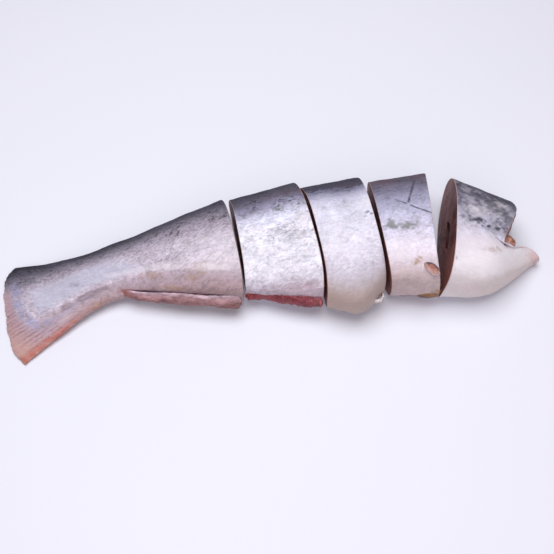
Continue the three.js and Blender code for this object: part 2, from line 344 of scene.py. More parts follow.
def stations(length, spacing):
    """Shares of a length where rings stand: evenly, and closer together beside a cut."""
    first = [0, *LIP]
    last = [length - d for d in reversed(LIP)] + [length]
    inner = np.arange(first[-1] + spacing, last[0] - spacing / 2, spacing)
    return np.array([*first, *inner, *last]) / length


def loft(ribs, shares, count):
    """Rings between ribs: their points, and how far across and up each point lies."""
    rows = spline(ribs, shares)
    rounds = np.array([outline(count, belly) for belly in rows[:, 5]])
    return on_rib(rows[:, None], rounds[:, 0], rounds[:, 1]), rounds[:, 0], rounds[:, 1]


def skin_map(points):
    """Millimetres along the fish and round it from the back, for patterns that follow the skin."""
    gaps = np.linalg.norm(np.diff(points, axis=0), axis=-1).mean(1)
    along = np.append(0, np.cumsum(gaps))[:, None] + 0 * points[..., 0]
    arcs = np.linalg.norm(np.roll(points, -1, 1) - points, axis=-1)
    walked = np.cumsum(arcs, 1) - arcs
    return {"along": along, "girth": np.minimum(walked, arcs.sum(1, keepdims=True) - walked)}


print("a wall of 20 mm has rings at", (stations(20, 4) * 20).round(1))

# %% [markdown]
# The wall is then moved out along its normals by the piece's relief, in millimetres. The same step
# rolls the edge in at a cut and keeps the underside on the board.


# %% Relief of the skin
def raise_skin(points, height, rim):
    """Moves skin out along its normals by a height, rolls it in at a cut, and keeps it off the board."""
    roll = -0.3 * np.exp(-rim / 0.35)
    moved = points + outward(points) * (height * smooth(0, 3, rim) + roll)[..., None]
    moved[..., 2] = np.maximum(moved[..., 2], 0)
    return moved


def unevenness(points, seed):
    """Relief that all skin has: broad, middling and small bumps."""
    broad = 0.3 * swell(points, 17, seed)
    return broad + 0.12 * swell(points, 6, seed + 1) + 0.05 * swell(points, 2.6, seed + 2)


# %% [markdown]
# ## Raw faces
# A raw face runs from the wall's last ring in to the backbone, on the same rib, so that it is bowed
# as the cut is. Where the belly cavity opens, the face ends at the cavity's mouth. Its relief is the
# meat's soft bumps, a ring of bone with a dip in its middle, and a crease under the skin.

# %% Goal and relief of a raw face
FACE_EDGE = [0.35, 0.9, 1.6, 2.4]  # millimetres from the skin where the face has its first rings
FACE_SPACING = 0.85
BONE_RADIUS = 3.7


def face_goal(turn, cavity):
    """Across and rise of the points that a face's rings run to: the backbone or the cavity's mouth."""
    if not cavity:
        return np.broadcast_to(np.array([SPINE, SPINE_RISE]), (len(turn), 2))
    top = 0.5 + REST
    middle = np.array([cavity["centre"], 2 * (top * cavity["level"] - REST)])
    wide, high = cavity["width"], top * cavity["height"]
    return np.stack([wide * np.cos(turn), high * np.sin(turn)], -1) + middle


def face_relief(points, depth, bone, seed):
    meat = 0.18 * swell(points, 7, seed) + 0.08 * swell(points, 2.4, seed + 1) - 0.15
    meat += 0.4 * np.exp(-(((bone - BONE_RADIUS) / 0.7) ** 2)) - 0.9 * smooth(3, 0, bone)
    crease = 0.25 * np.exp(-(((depth - 1) / 0.5) ** 2))
    return np.minimum(meat, 0.2) * smooth(0, 2.5, depth) - crease


print("the cavity's mouth reaches from", *face_goal(np.array([math.pi, 0]), CAVITY)[:, 0].round(2), "across")


# %% [markdown]
# The face takes the wall's edge ring as its first row, so that skin and flesh share their vertices
# and no seam can open between them.


# %% Raw face
def close_cut(surface, r, edge, edge_points, across, rise, towards, seed, cavity=None):
    """A raw face inside a wall's edge ring. `towards` is 1 for a front cut and -1 for a rear one."""
    count = len(edge)
    half = np.array([math.dist(r[0:2], r[2:4]), r[4]]) / 2
    out = np.array([r[1] - r[3], r[2] - r[0], 0]) * towards
    out /= np.linalg.norm(out)
    goal = face_goal(np.arange(count) / count * math.tau, cavity)
    start = np.stack([across, rise], -1)
    reach = np.linalg.norm((goal - start) * half, axis=-1)
    near = np.array(FACE_EDGE)[:, None] / reach
    rows = max(4, round((reach.mean() - FACE_EDGE[-1]) / FACE_SPACING))
    share = np.concatenate([near, blend(near[-1], 1, np.linspace(0, 1, rows + 1)[1:, None])])
    place = blend(start, goal, share[..., None])
    points = on_rib(r, place[..., 0], place[..., 1])
    points = points + (edge_points - on_rib(r, across, rise)) * ((1 - share) ** 4)[..., None]
    depth = share * reach
    back, up = (place[..., 0] - SPINE) * half[0], (place[..., 1] - SPINE_RISE) * half[1]
    points = points + out * face_relief(points, depth, np.hypot(back, up), seed)[..., None]
    points[..., 2] = np.maximum(points[..., 2], 0)
    marks = {"rim": depth, "spine_back": back, "spine_side": up}
    if not cavity:
        inner = surface.add(points[:-1], **{k: v[:-1] for k, v in marks.items()})
        pole = surface.add(points[-1, :1], **{k: v[-1, :1] for k, v in marks.items()})
        grid = np.vstack([edge, inner, np.repeat(pole, count)])
    else:
        face = surface.add(points, **marks)
        grid = np.vstack([edge, face, bowl(surface, r, points[-1], out, cavity, seed)])
    surface.span(grid if towards > 0 else grid[::-1], kind=1)


# %% [markdown]
# The belly cavity is a half egg sunk into the face. Its rings start at the mouth, narrow by a cosine
# while they go down by a sine, and meet in a pole at the bottom.


# %% Belly cavity
def bowl(surface, r, mouth, out, cavity, seed, rings=16):
    """Rings that run down from the mouth of the belly cavity to its bottom."""
    core = on_rib(r, cavity["centre"], 2 * ((0.5 + REST) * cavity["level"] - REST))
    steep = np.linspace(0, math.pi / 2, rings + 1)[1:-1, None, None]
    points = core + (mouth - core) * np.cos(steep) - out * cavity["depth"] * np.sin(steep)
    points = points + (points - core) * 0.02 * swell(points, 4, seed + 5)[..., None]
    inner = surface.add(points, cavity=np.sin(steep[..., 0]) ** 0.5, rim=20.0, spine_back=-12.0)
    pole = surface.add((core - out * cavity["depth"])[None], cavity=1.0, rim=20.0, spine_back=-12.0)
    return np.vstack([inner, np.repeat(pole, len(mouth))])


# %% [markdown]
# ## Wires: node maths in plain Python
# A node tree drawn by hand is hard to read in a script. `Wire` wraps one output socket and adds a Math
# node for each operator, so a pattern can be written as the sum it is. The reflected forms let a
# plain number stand on the left, as in 1 - mask.


# %% Wire
class Wire:
    def __init__(self, tree, socket):
        self.tree, self.socket = tree, socket

    def math(self, operation, *values):
        return self.tree.node("ShaderNodeMath", {"operation": operation}, dict(enumerate(values)))

    def __add__(self, other):
        return self.math("ADD", self, other)

    def __sub__(self, other):
        return self.math("SUBTRACT", self, other)

    def __rsub__(self, other):
        return self.math("SUBTRACT", other, self)

    def __mul__(self, other):
        return self.math("MULTIPLY", self, other)

    def __truediv__(self, other):
        return self.math("DIVIDE", self, other)

    def __pow__(self, other):
        return self.math("POWER", self, other)

    __radd__, __rmul__ = __add__, __mul__

    def __abs__(self):
        return self.math("ABSOLUTE", self)

    def cosine(self):
        return self.math("COSINE", self)

    def above(self, low, high):
        """0 under low, 1 over high, and a soft step between."""
        settings = {"interpolation_type": "SMOOTHSTEP"}
        return self.tree.node("ShaderNodeMapRange", settings, {0: self, 1: low, 2: high})

    def below(self, low, high):
        return 1 - self.above(low, high)


# %% [markdown]
# ## Trees and the paint chart
# `Tree.node` makes any other node from its type, its settings and its inputs, for shaders and for
# Geometry Nodes alike. Settings come first, because some of them change which sockets a node has. A
# text such as #c9c4d2 on a socket is a colour of the paint chart.


# %% Tree
class Tree:
    def __init__(self, nodes):
        self.nodes, self.links = nodes.nodes, nodes.links

    def node(self, kind, settings=None, inputs=None, out=0):
        made = self.nodes.new(kind)
        for key, value in (settings or {}).items():
            if key == "stops":
                self.set_stops(made.color_ramp, value)
            else:
                setattr(made, key, value)
        for key, value in (inputs or {}).items():
            self.feed(made.inputs[key], value)
        return Wire(self, made.outputs[out] if made.outputs else None)

    def feed(self, socket, value):
        if isinstance(value, Wire):
            self.links.new(value.socket, socket)
        elif isinstance(value, str) and value.startswith("#"):
            socket.default_value = tone(value)
        else:
            socket.default_value = value

    @staticmethod
    def set_stops(ramp, stops):
        while len(ramp.elements) < len(stops):
            ramp.elements.new(0.5)
        for element, (place, colour) in zip(ramp.elements, sorted(stops)):
            element.position = place
            element.color = tone(colour)


def tone(code):
    """A colour of the paint chart, such as #c9c4d2, as linear light."""
    parts = (int(code[i : i + 2], 16) / 255 for i in (1, 3, 5))
    return (*(c / 12.92 if c <= 0.04045 else ((c + 0.055) / 1.055) ** 2.4 for c in parts), 1.0)


print("#808080 as linear light:", round(tone("#808080")[0], 3))

# %% [markdown]
# ## Finishes
# A `Finish` is a material under construction. It adds the few things that every finish here needs:
# a mark read from the mesh, noise of a real size in millimetres on the object's own coordinates,
# a mix of two colours, and a bump whose height is also told in millimetres.


# %% The finish builder
class Finish(Tree):
    def __init__(self, name):
        self.material = bpy.data.materials.new(name)
        self.material.use_nodes = True
        super().__init__(self.material.node_tree)
        self.shader = self.nodes["Principled BSDF"]

    def mark(self, name):
        return self.node("ShaderNodeAttribute", {"attribute_name": name}, out=2)

    def noise(self, size, seed, detail=2.0, stretch=(1, 1, 1), rough=0.5):
        """Noise from 0 to 1 in blotches `size` millimetres across, longer where stretch is over 1."""
        place = self.node("ShaderNodeTexCoord", out=3)
        scale = tuple(1 / (size * MM * s) for s in stretch)
        shifted = self.node("ShaderNodeMapping", {}, {0: place, 1: (seed, seed * 1.7, -seed), 3: scale})
        inputs = {"Vector": shifted, "Scale": 1.0, "Detail": detail, "Roughness": rough}
        return self.node("ShaderNodeTexNoise", {"noise_dimensions": "3D"}, inputs)

    def flow(self, size, seed, long=1.0, detail=2.0, twist=0.0):
        """The same on the mesh's own marks, so that the blotches lie along the skin, `long` times as long."""
        along, girth = self.mark("along") / (size * long), self.mark("girth") / size
        place = self.node("ShaderNodeCombineXYZ", {}, {0: along, 1: girth, 2: seed * 1.37})
        inputs = {"Vector": place, "Scale": 1.0, "Detail": detail, "Roughness": 0.6, "Distortion": twist}
        return self.node("ShaderNodeTexNoise", {"noise_dimensions": "3D"}, inputs)

    def scaled(self, colour, factor):
        return self.node("ShaderNodeVectorMath", {"operation": "SCALE"}, {0: colour, "Scale": factor})

    def ramp(self, value, stops):
        return self.node("ShaderNodeValToRGB", {"stops": stops}, {0: value})

    def mix(self, share, base, over):
        settings = {"data_type": "RGBA", "blend_type": "MIX", "clamp_factor": True}
        return self.node("ShaderNodeMix", settings, {0: share, 6: base, 7: over}, out=2)

    def bump(self, height):
        return self.node("ShaderNodeBump", {}, {"Strength": 1.0, "Distance": MM, "Height": height})

    def done(self, **sockets):
        for name, value in sockets.items():
            self.feed(self.shader.inputs[name.replace("_", " ")], value)
        return self.material


# %% [markdown]
# ## Paints of stains, painted shade and painted highlights
# Seven paints are enough for every stain on the fish, and three of them also carry painted light: the dark
# grey paints shade in creases, folds, a slit and under the throat's edge, the mauve paints shade in the
# tail's grooves, and the pale paints highlights on a ridge and on the tops of flanks. Each belongs to a mark
# of the mesh with the same name, from 0 to 1, and skin and flesh mix them in the same order.

# %% Stains
STAINS = {
    # dark grey: real dark marks, and painted shade in creases, folds, a slit and under the throat's edge
    "dusk": "#474653",
    "moss": "#7d7f78",
    "ochre": "#a98560",
    "blood": "#96453f",
    # mauve: real bruises, and painted shade in the tail's grooves
    "bruise": "#65515c",
    # pale: real pale skin, and painted highlights on a ridge and on the tops of flanks
    "pale": "#f1ebf2",
    "rosy": "#cf9a98",
}
RIM_PAINT = "#cfaaa4"  # the cut edge of skin, where flesh shines through
CRINKLE_SHADE_PAINT = "#8b89a6"

# %% [markdown]
# ## Wet skin
# Catfish skin has no scales. Its back is slate, its flank silver and its belly white, under a film of water
# and slime. The colour is a ramp from belly to back, read at a place that noise pushes about, so the bands
# melt into each other as pigment does. Noise of three sizes then makes it lighter and darker, and thin
# wandering lines crinkle it: each line is sunk as a small groove and darkened with painted shade. All of it
# follows the skin's own marks.


# %% Skin finish
def fish_skin(
    name, bands, seed, drift=0.3, cloudy=0.8, mottled=1.0, grainy=0.9,
    crinkled=0.0, lively=-0.4, calm=0.45, over=None,
):
    """Skin whose colours `bands` tells from belly to back, 0 to 1.

    `drift` is how far clouds push the bands about. `cloudy`, `mottled` and `grainy` are the strength of
    large, middling and small blotches, and `crinkled` that of the crinkle lines, whose grooves take painted
    shade. Below `lively` across, towards the belly, all this is as weak as `calm`. `over` paints a piece's
    own colours on top.
    """
    skin = Finish(name)
    across, rim = skin.mark("across"), skin.mark("rim")
    cloud = skin.noise(15, seed, detail=2)
    mottle = skin.flow(4.4, seed + 3, long=1.5, detail=3, twist=0.9)
    grain = skin.flow(1.3, seed + 5, long=1.7, detail=3, twist=0.5)
    alive = calm + (1 - calm) * across.above(lively - 0.15, lively + 0.15)
    strength = alive + 0.8 * across.above(0.1, 0.6)
    noise = (cloud - 0.5) * drift + (mottle - 0.5) * 0.35 + (grain - 0.5) * 0.2
    colour = skin.ramp((across + skin.mark("shift") + noise * alive) * 0.5 + 0.5, bands)
    uneven = 1 + ((cloud - 0.5) * cloudy + (mottle - 0.5) * mottled + (grain - 0.5) * grainy) * strength
    colour = skin.scaled(colour, uneven)
    wander = skin.flow(8, seed + 7, long=1.3, detail=2, twist=2.0)
    lines = abs(wander - 0.5).below(0.004, 0.03) * crinkled
    # painted shade along the crinkle lines
    colour = skin.mix(lines * 0.35, colour, CRINKLE_SHADE_PAINT)
    if over:
        colour = over(skin, colour, mottle)
    for mark, paint in STAINS.items():
        colour = skin.mix(skin.mark(mark), colour, paint)
    colour = skin.mix(rim.below(0.1, 0.9) * 0.6, colour, RIM_PAINT)
    height = grain * 0.15 + mottle * (0.3 + 0.3 * crinkled) - lines * 0.3
    wetness = 0.42 + (grain - 0.5) * 0.4 + (mottle - 0.5) * 0.3
    return skin.done(
        Base_Color=colour,
        Roughness=wetness + across.above(0.4, 0.9) * 0.25,
        Specular_IOR_Level=0.18,
        Coat_Weight=0.15 * across.below(0.2, 0.6),
        Coat_Roughness=0.22,
        Subsurface_Weight=0.1,
        Subsurface_Scale=0.003,
        Subsurface_Radius=(1.0, 0.5, 0.4),
        Normal=skin.bump(height),
    )


# %% [markdown]
# ## Raw flesh
# A cross cut through a catfish shows blocks of muscle, parted by thin pale sheets that curve like
# nested arcs round four centres, two above the backbone and two below. Darker muscle lies under the
# skin at mid height. All this is drawn from two marks, the millimetres from the backbone towards the
# back and towards the skin, so the pattern has its real size in every cut.


# %% Flesh finish
def raw_flesh(name, seed, meat="#85504e", deep="#633437", fat="#b08a86"):
    flesh = Finish(name)
    back, side, rim = (flesh.mark(m) for m in ("spine_back", "spine_side", "rim"))
    cloud = flesh.noise(9, seed, detail=3)
    grain = flesh.noise(1.3, seed + 2, detail=3, rough=0.6)
    wander = (flesh.noise(6, seed + 4) - 0.5) * 5
    centre = ((abs(back) - 13) ** 2 * 0.5 + (abs(side) - 8) ** 2) ** 0.5 + wander
    sheets = (centre * (math.tau / 3.4)).cosine().above(0.86, 1.0)
    seams = sum((abs(way) + wander * 0.08).below(0.2, 0.7) for way in (side, back))
    bone = (back**2 + side**2) ** 0.5
    colour = flesh.mix(cloud.above(0.35, 0.65), deep, meat)
    colour = flesh.mix(grain.above(0.45, 0.7) * 0.25, colour, fat)
    colour = flesh.mix(sheets * 0.22, colour, fat)
    colour = flesh.mix(seams * 0.2, colour, fat)
    colour = flesh.mix(back.below(-38, -16) * 0.6, colour, "#ab746c")
    dark = (abs(back) - (abs(side) - 9) * 0.4).below(0.5, 2.5) * abs(side).above(9, 14)
    colour = flesh.mix(dark * 0.8, colour, "#4f2224")
    colour = flesh.mix(bone.below(3.9, 4.4) * 0.8, colour, "#a88478")
    colour = flesh.mix(bone.below(1.1, 2.2), colour, "#552324")
    colour = flesh.mix(rim.below(0.5, 1.5) * 0.6, colour, "#a87f7a")
    colour = flesh.mix(flesh.mark("cavity").above(0, 0.25), colour, "#3d1a1a")
    for mark, paint in STAINS.items():
        colour = flesh.mix(flesh.mark(mark), colour, paint)
    return flesh.done(
        Base_Color=colour,
        Roughness=0.5 + (grain - 0.5) * 0.3,
        Specular_IOR_Level=0.2,
        Coat_Weight=0.06,
        Coat_Roughness=0.2,
        Subsurface_Weight=0.1,
        Subsurface_Scale=0.002,
        Subsurface_Radius=(1.0, 0.35, 0.25),
        Normal=flesh.bump(grain * 0.3 + sheets * 0.12),
    )


flesh_finish = raw_flesh("raw_flesh", 3)
print("flesh finish has", len(flesh_finish.node_tree.nodes), "nodes")

# %% [markdown]
# ## One way to make a slice
# The four lofted pieces differ only in their ribs, their relief and their stains, so one function
# builds them: walls, relief, marks, and a raw face at each cut. The relief and the paint are given
# as functions of the skin's points, which keeps what is special about a piece in that piece's cell.


# %% Slice builder
SKIN_SPACING = 0.66


def middle_of(r):
    return np.add(r[0:2], r[2:4]) / 2


def steak(name, ribs, skin, relief, paint, seed, count=340, front_cavity=None):
    length = math.dist(middle_of(ribs[0]), middle_of(ribs[-1]))
    shares = stations(length, SKIN_SPACING)
    points, across, rise = loft(ribs, shares, count)
    rim = np.minimum(shares, 1 - shares)[:, None] * length + 0 * across
    walked = shares[:, None] + 0 * across
    height = unevenness(points, seed) + relief(points)
    skin_points = raise_skin(points, height, rim)
    surface = Surface()
    marks = paint(points, across, walked)
    walls = surface.add(skin_points, across=across, rim=rim, **skin_map(points), **marks)
    surface.span(walls)
    for row, towards, cavity in ((0, -1, None), (-1, 1, front_cavity)):
        ring = (walls[row], skin_points[row], across[row], rise[row])
        close_cut(surface, ribs[row], *ring, towards, seed + row, cavity)
    return surface.object(name, [skin, flesh_finish])


def settle(piece, node):
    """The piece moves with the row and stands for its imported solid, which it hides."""
    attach(piece, "root")
    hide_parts(node)
    return piece


# %% [markdown]
# ## The rear steak
# Silver skin, a slate band along the back with a purple-brown patch, and two long creases where the skin
# buckled. The creases are shallow grooves along lines on the skin: modelled, because a groove that only
# darkens the colour stays flat when the light moves, and darkened too with painted shade along their lines.

# %% Rear steak
rear_skin = fish_skin("rear_skin", [
    (0.0, "#cfbcc8"), (0.05, "#e4deea"), (0.15, "#eeebf6"), (0.45, "#eeecf8"), (0.62, "#dcdcf0"),
    (0.72, "#a09cb6"), (0.81, "#6c6878"), (0.9, "#4a4856"), (1.0, "#2a2833"),
], seed=11, cloudy=1.1, mottled=1.7, grainy=1.2, crinkled=0.5, lively=-0.3)
REAR_CREASES = [
    [(-3, -9.1, 35.4), (12, -7.2, 38.4), (27.9, -6.2, 39.8)],
    [(4, -12.5, 36), (16, -10.5, 38), (26, -10, 39)],
    [(-16, 24, 41), (-10, 20, 42), (-2, 21, 43)],
]


def rear_relief(points):
    creases = list(enumerate(REAR_CREASES, 5))
    groove = sum(streak(points, path, 0.9, seed, 0.2) for seed, path in creases)
    ridge = sum(streak(points + [0, 1.6, 0], path, 1.3, seed, 0.2) for seed, path in creases)
    return -0.6 * groove + 0.35 * ridge


def rear_paint(points, across, walked):
    # painted shade along the creases' grooves
    shade = sum(streak(points, path, 0.6, seed) for seed, path in enumerate(REAR_CREASES, 5))
    low = streak(points, [(-24, -20, 22), (-10, -19, 24), (10, -21, 25), (30, -23, 26)], 2.2, 31, 0.5)
    dark = blots(points, [(8, 52, 37, 13, 6, 0.45), (-20, 30, 38, 8, 6, 0.2)], 24)
    return {
        "dusk": np.clip(0.35 * shade + 0.22 * low + dark, 0, 1),
        "bruise": blots(points, [(6, 50, 38, 14, 6, 0.55), (-8, 48, 35, 9, 4, 0.35)], 21),
        # painted highlights on top of the flank
        "pale": blots(points, [(18, 22, 42, 9, 12, 0.5), (-18, 14, 38, 8, 10, 0.25)], 22),
        "shift": 0.05 * np.sin(walked * 5 + 1),
    }


rear = steak("rear_steak_dressed", REAR_RIBS, rear_skin, rear_relief, rear_paint, seed=40)
settle(rear, "rear_steak")

# %% [markdown]
# ## The middle steak
# The smoothest of the slices: a dark band at the back, silver-white below, and warm grey at the belly, where
# the cut through the vent let the skin shrink into scalloped wrinkles, with painted shade in their troughs.

# %% Middle steak
middle_skin = fish_skin("middle_skin", [
    (0.0, "#c4b2b2"), (0.05, "#c6babe"), (0.15, "#d0c9d6"), (0.3, "#e4e0ee"), (0.45, "#eae8f6"),
    (0.66, "#dedeee"), (0.74, "#cccbdf"), (0.8, "#9594ac"), (0.86, "#474656"), (1.0, "#2e2c37"),
], seed=23, drift=0.2, cloudy=0.5, mottled=0.6, grainy=0.7, crinkled=0.25, lively=-0.7)
WRINKLE_BAND = [(70.5, 3, 38), (73.6, -11, 33), (74.5, -20, 24)]


def scallops(run):
    return np.cos(run * 11 * math.tau + 0.6 * np.sin(run * 31))


def middle_relief(points):
    far, run, _ = trace(points, WRINKLE_BAND)
    wrinkles = 0.45 * scallops(run) * (1 - smooth(1.5, 5, far)) * smooth(0, 0.1, run)
    return wrinkles + 0.15 * swell(points, 9, 77)


def middle_paint(points, across, walked):
    nicks = [(61.5, 24.5, 46.8, 2.4, 1, 0.8), (65, 23, 46.8, 1.8, 0.9, 0.7), (60, 21, 47, 1.2, 0.7, 0.6)]
    far, run, _ = trace(points, WRINKLE_BAND)
    # painted shade in the troughs of the wrinkles
    fold_shade = smooth(0.3, -0.8, scallops(run)) * (1 - smooth(1, 4.5, far)) * smooth(0, 0.1, run)
    speck = blots(points, [(63.6, -13.8, 43.3, 1.6, 1.2, 0.4)], 5)
    return {
        "dusk": np.clip(blots(points, nicks, 3) + 0.4 * fold_shade + speck, 0, 1),
        "bruise": blots(points, [(48, 52, 38, 12, 4, 0.3), (73, -4, 38, 3, 12, 0.3)], 8),
        "ochre": 0.3 * smooth(-0.8, -1.0, across) + 0.12 * blots(points, [(50, -27, 22, 16, 7, 1)], 9),
        # painted highlights on top of the flank, beside the nicks
        "pale": blots(points, [(61, 33, 46, 7, 6, 0.7), (40, 0, 46, 10, 18, 0.2)], 10),
        "shift": -0.04 + 0.06 * walked,
    }


middle = steak(
    "middle_steak_dressed", MIDDLE_RIBS, middle_skin, middle_relief, middle_paint, seed=50, count=350
)
settle(middle, "middle_steak")

# %% [markdown]
# ## The front steak
# Slate-grey well down the flank, with thin veins, a green-grey bruise and a white belly. Low on the
# flank stands the stump of the breast fin, which comes later as a piece of its own.

# %% Front steak
front_skin = fish_skin("front_skin", [
    (0.0, "#cab5b4"), (0.06, "#dccace"), (0.15, "#e2d5e0"), (0.25, "#ece5f1"), (0.36, "#dad5ea"),
    (0.5, "#cac9e0"), (0.65, "#a5a4bd"), (0.76, "#7e7b90"), (0.86, "#655e6d"), (1.0, "#4c4652"),
], seed=37, drift=0.4, cloudy=1.0, mottled=1.2, grainy=1.1, crinkled=0.3, lively=-0.4, calm=0.3)
VEINS = [
    [(97, 55, 41.5), (94, 45, 45.3), (91.5, 37, 47), (89.6, 30, 48)],
    [(89.6, 30, 48), (97, 26, 48.6), (105.5, 22, 48.8), (111, 19, 49)],
    [(89.6, 30, 48), (84, 33, 47.6), (78, 36, 47)],
]


def front_relief(points):
    veins = sum(streak(points, path, 0.6, seed, 0.15) for seed, path in enumerate(VEINS, 9))
    fold = streak(points, [(74, -2, 40), (84, -5, 41), (94, -6, 42)], 1.2, 3, 0.2)
    return 0.25 * veins - 0.4 * fold


def front_paint(points, across, walked):
    veins = sum(streak(points, path, 0.8, seed, 0.25) for seed, path in enumerate(VEINS, 9))
    patch = [(77, 13, 46.8, 7, 3.6, 0.8), (83, 14.5, 47, 5, 3, 0.65), (90, 12.5, 47.7, 7, 3.2, 0.8)]
    # painted shade of a slit along the belly, which is not modelled
    slit = streak(points, [(84, -21.5, 10), (92, -22, 12), (106, -22.8, 15)], 2.6, 18, 0.3)
    dark = blots(points, [(80, 58, 38, 18, 7, 0.4), (100, 62, 36, 16, 7, 0.45)], 20)
    purple = [(75, 58, 38, 14, 8, 0.8), (98, 62, 36, 14, 6, 0.8), (106, -23.5, 17, 5, 2, 0.8)]
    return {
        "dusk": np.clip(0.9 * veins + 0.9 * slit + dark, 0, 1),
        "moss": blots(points, patch, 15, 0.45),
        "ochre": blots(points, [(93.8, -13.5, 44.6, 3.4, 3.2, 0.95), (109, -23.5, 20, 6, 6, 0.8)], 16),
        "bruise": blots(points, purple, 17),
        # painted highlight along the line where the flank turns down to the belly
        "pale": blots(points, [(84, -10, 44, 12, 8, 0.45)], 19),
    }


front = steak(
    "front_steak_dressed", FRONT_RIBS, front_skin, front_relief, front_paint, seed=60, front_cavity=CAVITY
)
settle(front, "front_steak")

# %% [markdown]
# ## The tail piece
# Body, wrist and trimmed fin in one skin. The fin's flesh ends in a rounded violet fringe, past which
# the fin is a thin reddish web between rays. Which side of the fringe a point lies on, and how far,
# is one mark, and the finish turns that distance into the web, the fringe and the blue-white centre.

# %% Tail marks
FRINGE = [
    (-195, 40), (-189, 4), (-187.5, -5), (-185.5, -13), (-182, -25), (-176.5, -35), (-169, -42),
    (-161, -44), (-150, -40.5), (-138.5, -33.5), (-128, -28), (-118, -27), (-100, -36), (20, -80),
]
RIDGE = [
    (-122, -10.5, 16.5), (-114.9, -9.6, 18.7), (-98, -8, 23),
    (-81.2, -7.3, 25.7), (-52, -9.5, 29.6), (-22, -11.6, 32),
]
STRIP_GROOVE = [
    (-104, -20, 13.8), (-91, -20.1, 14.8), (-73, -21.8, 16.4),
    (-53, -24.1, 17.1), (-35, -25.7, 18.5), (-24, -26.5, 18.5),
]
WRIST_GROOVE = [(-152, -33, 8), (-140, -27, 11.5), (-128, -21, 14), (-114, -17, 16)]
SCRATCHES = [
    [(-70, 16, 30), (-73, 6, 29), (-75, -4, 28)],
    [(-128, -8, 15), (-120, -9, 17), (-112, -8, 19)],
]
DARK_SPOTS = [(-139.6, -13.8, 13.4, 4, 2.4, 0.35), (-174.9, -6, 5.5, 6, 4, 0.3), (-166, 1, 8, 5, 4, 0.25)]
OCHRE_SPOTS = [
    (-86.7, -12, 22.9, 9, 3.4, 0.45), (-52, -10.4, 29.5, 6, 5, 0.5),
    (-58, -15, 27, 6, 4, 0.45), (-66, -20, 20, 16, 2, 0.5),
]
RED_SPOTS = [(-103, -20, 14, 6, 2.6, 0.9), (-92, -20, 15, 9, 1.4, 0.5), (-31, -25.5, 18, 4, 2, 0.7)]


def tail_paint(points, across, walked):
    far, _, side = trace(points, FRINGE)
    ridge = streak(points, RIDGE, 2.8, 4, 0.5)
    scratch = sum(streak(points, path, 0.4, seed) for seed, path in enumerate(SCRATCHES, 6))
    # painted shade in the wrist's groove and in the groove over the fin base, under the skin's lip
    groove = streak(points, WRIST_GROOVE, 2.2, 12, 0.5)
    strip_groove_shade = streak(points, STRIP_GROOVE, 1.5, 13, 0.15)
    flank = smooth(-0.8, -0.5, across) * smooth(0.25, 0, across)
    return {
        "web": -far * side,
        # the side ridge's share is a painted highlight along the ridge
        "pale": np.clip(0.3 * ridge + 0.35 * smooth(0.66, 0.95, walked) * flank, 0, 1),
        "dusk": np.clip(0.45 * scratch + blots(points, DARK_SPOTS, 14), 0, 1),
        "ochre": blots(points, OCHRE_SPOTS, 15),
        "blood": blots(points, RED_SPOTS, 16),
        "bruise": np.clip(0.4 * groove + 0.9 * strip_groove_shade, 0, 1),
        "shift": -0.05 * np.sin(walked * 9),
    }


# %% [markdown]
# ### The tail's skin
# The ramp gives the body its colours. The fin's own are mixed over it by the `web` mark: a blue-white
# centre, the violet fringe, and the web, whose streaks a cosine of the mark `across` rules, so that
# they fan out as the rays do. Only the lowest edge of the fin is strongly red.


# %% Tail finish
def fin_colours(skin, colour, mottle):
    across, web = skin.mark("across"), skin.mark("web")
    low = across.below(0.3, 0.6)
    centre = web.above(-34, -22) * web.below(-16, -7) * across.above(-0.6, -0.35) * across.below(0.15, 0.4)
    colour = skin.mix(centre * 0.75, colour, "#c9c9dc")
    fringe = web.above(-7, -3) * web.below(-0.5, 3.5) * across.below(0.45, 0.8) * across.above(-0.8, -0.6)
    colour = skin.mix(fringe * (mottle * 2.4 - 0.8), colour, "#9a97be")
    paints = [(0.0, "#b59fb2"), (0.2, "#bd9fa6"), (0.5, "#c8a29e"), (0.8, "#c9a198")]
    colour = skin.mix(web.above(-0.5, 4) * low, colour, skin.ramp(web / 30 + (mottle - 0.5) * 0.3, paints))
    streaks = (across * 26 * math.pi + mottle * 9).cosine().above(0.1, 0.9)
    streaks = streaks * web.above(0, 3) * web.below(6, 20) * mottle.above(0.3, 0.6)
    colour = skin.mix(streaks * 0.7 * across.below(-0.1, 0.2), colour, "#8a6678")
    edge = across.below(-0.96, -0.84) * (mottle * 1.6 - 0.1)
    along = skin.mark("along")
    colour = skin.mix(edge * along.above(24, 40) * along.below(50, 78) * 0.6, colour, "#c08f74")
    return skin.mix(edge * web.above(-9, 2) * along.below(30, 48), colour, "#b5604e")


tail_finish = fish_skin("tail_skin_wet", [
    (0.0, "#a68c90"), (0.06, "#baa2a8"), (0.14, "#b8a5b0"), (0.22, "#c4b3c0"), (0.28, "#d3c7d4"),
    (0.42, "#c9bfce"), (0.58, "#c0b6c4"), (0.68, "#a59cab"), (0.78, "#7e7884"), (0.87, "#524e5a"),
    (0.96, "#2f2d37"),
], seed=5, drift=0.25, cloudy=0.8, mottled=1.1, grainy=1.7, crinkled=0.4, lively=-0.5, over=fin_colours)

# %% [markdown]
# ### The tail's form
# The fin is thinned towards its trailing edge, which frays into short points between the notches.
# The skin is lifted along the side ridge and sunk along the wrist's groove and over the fin base.

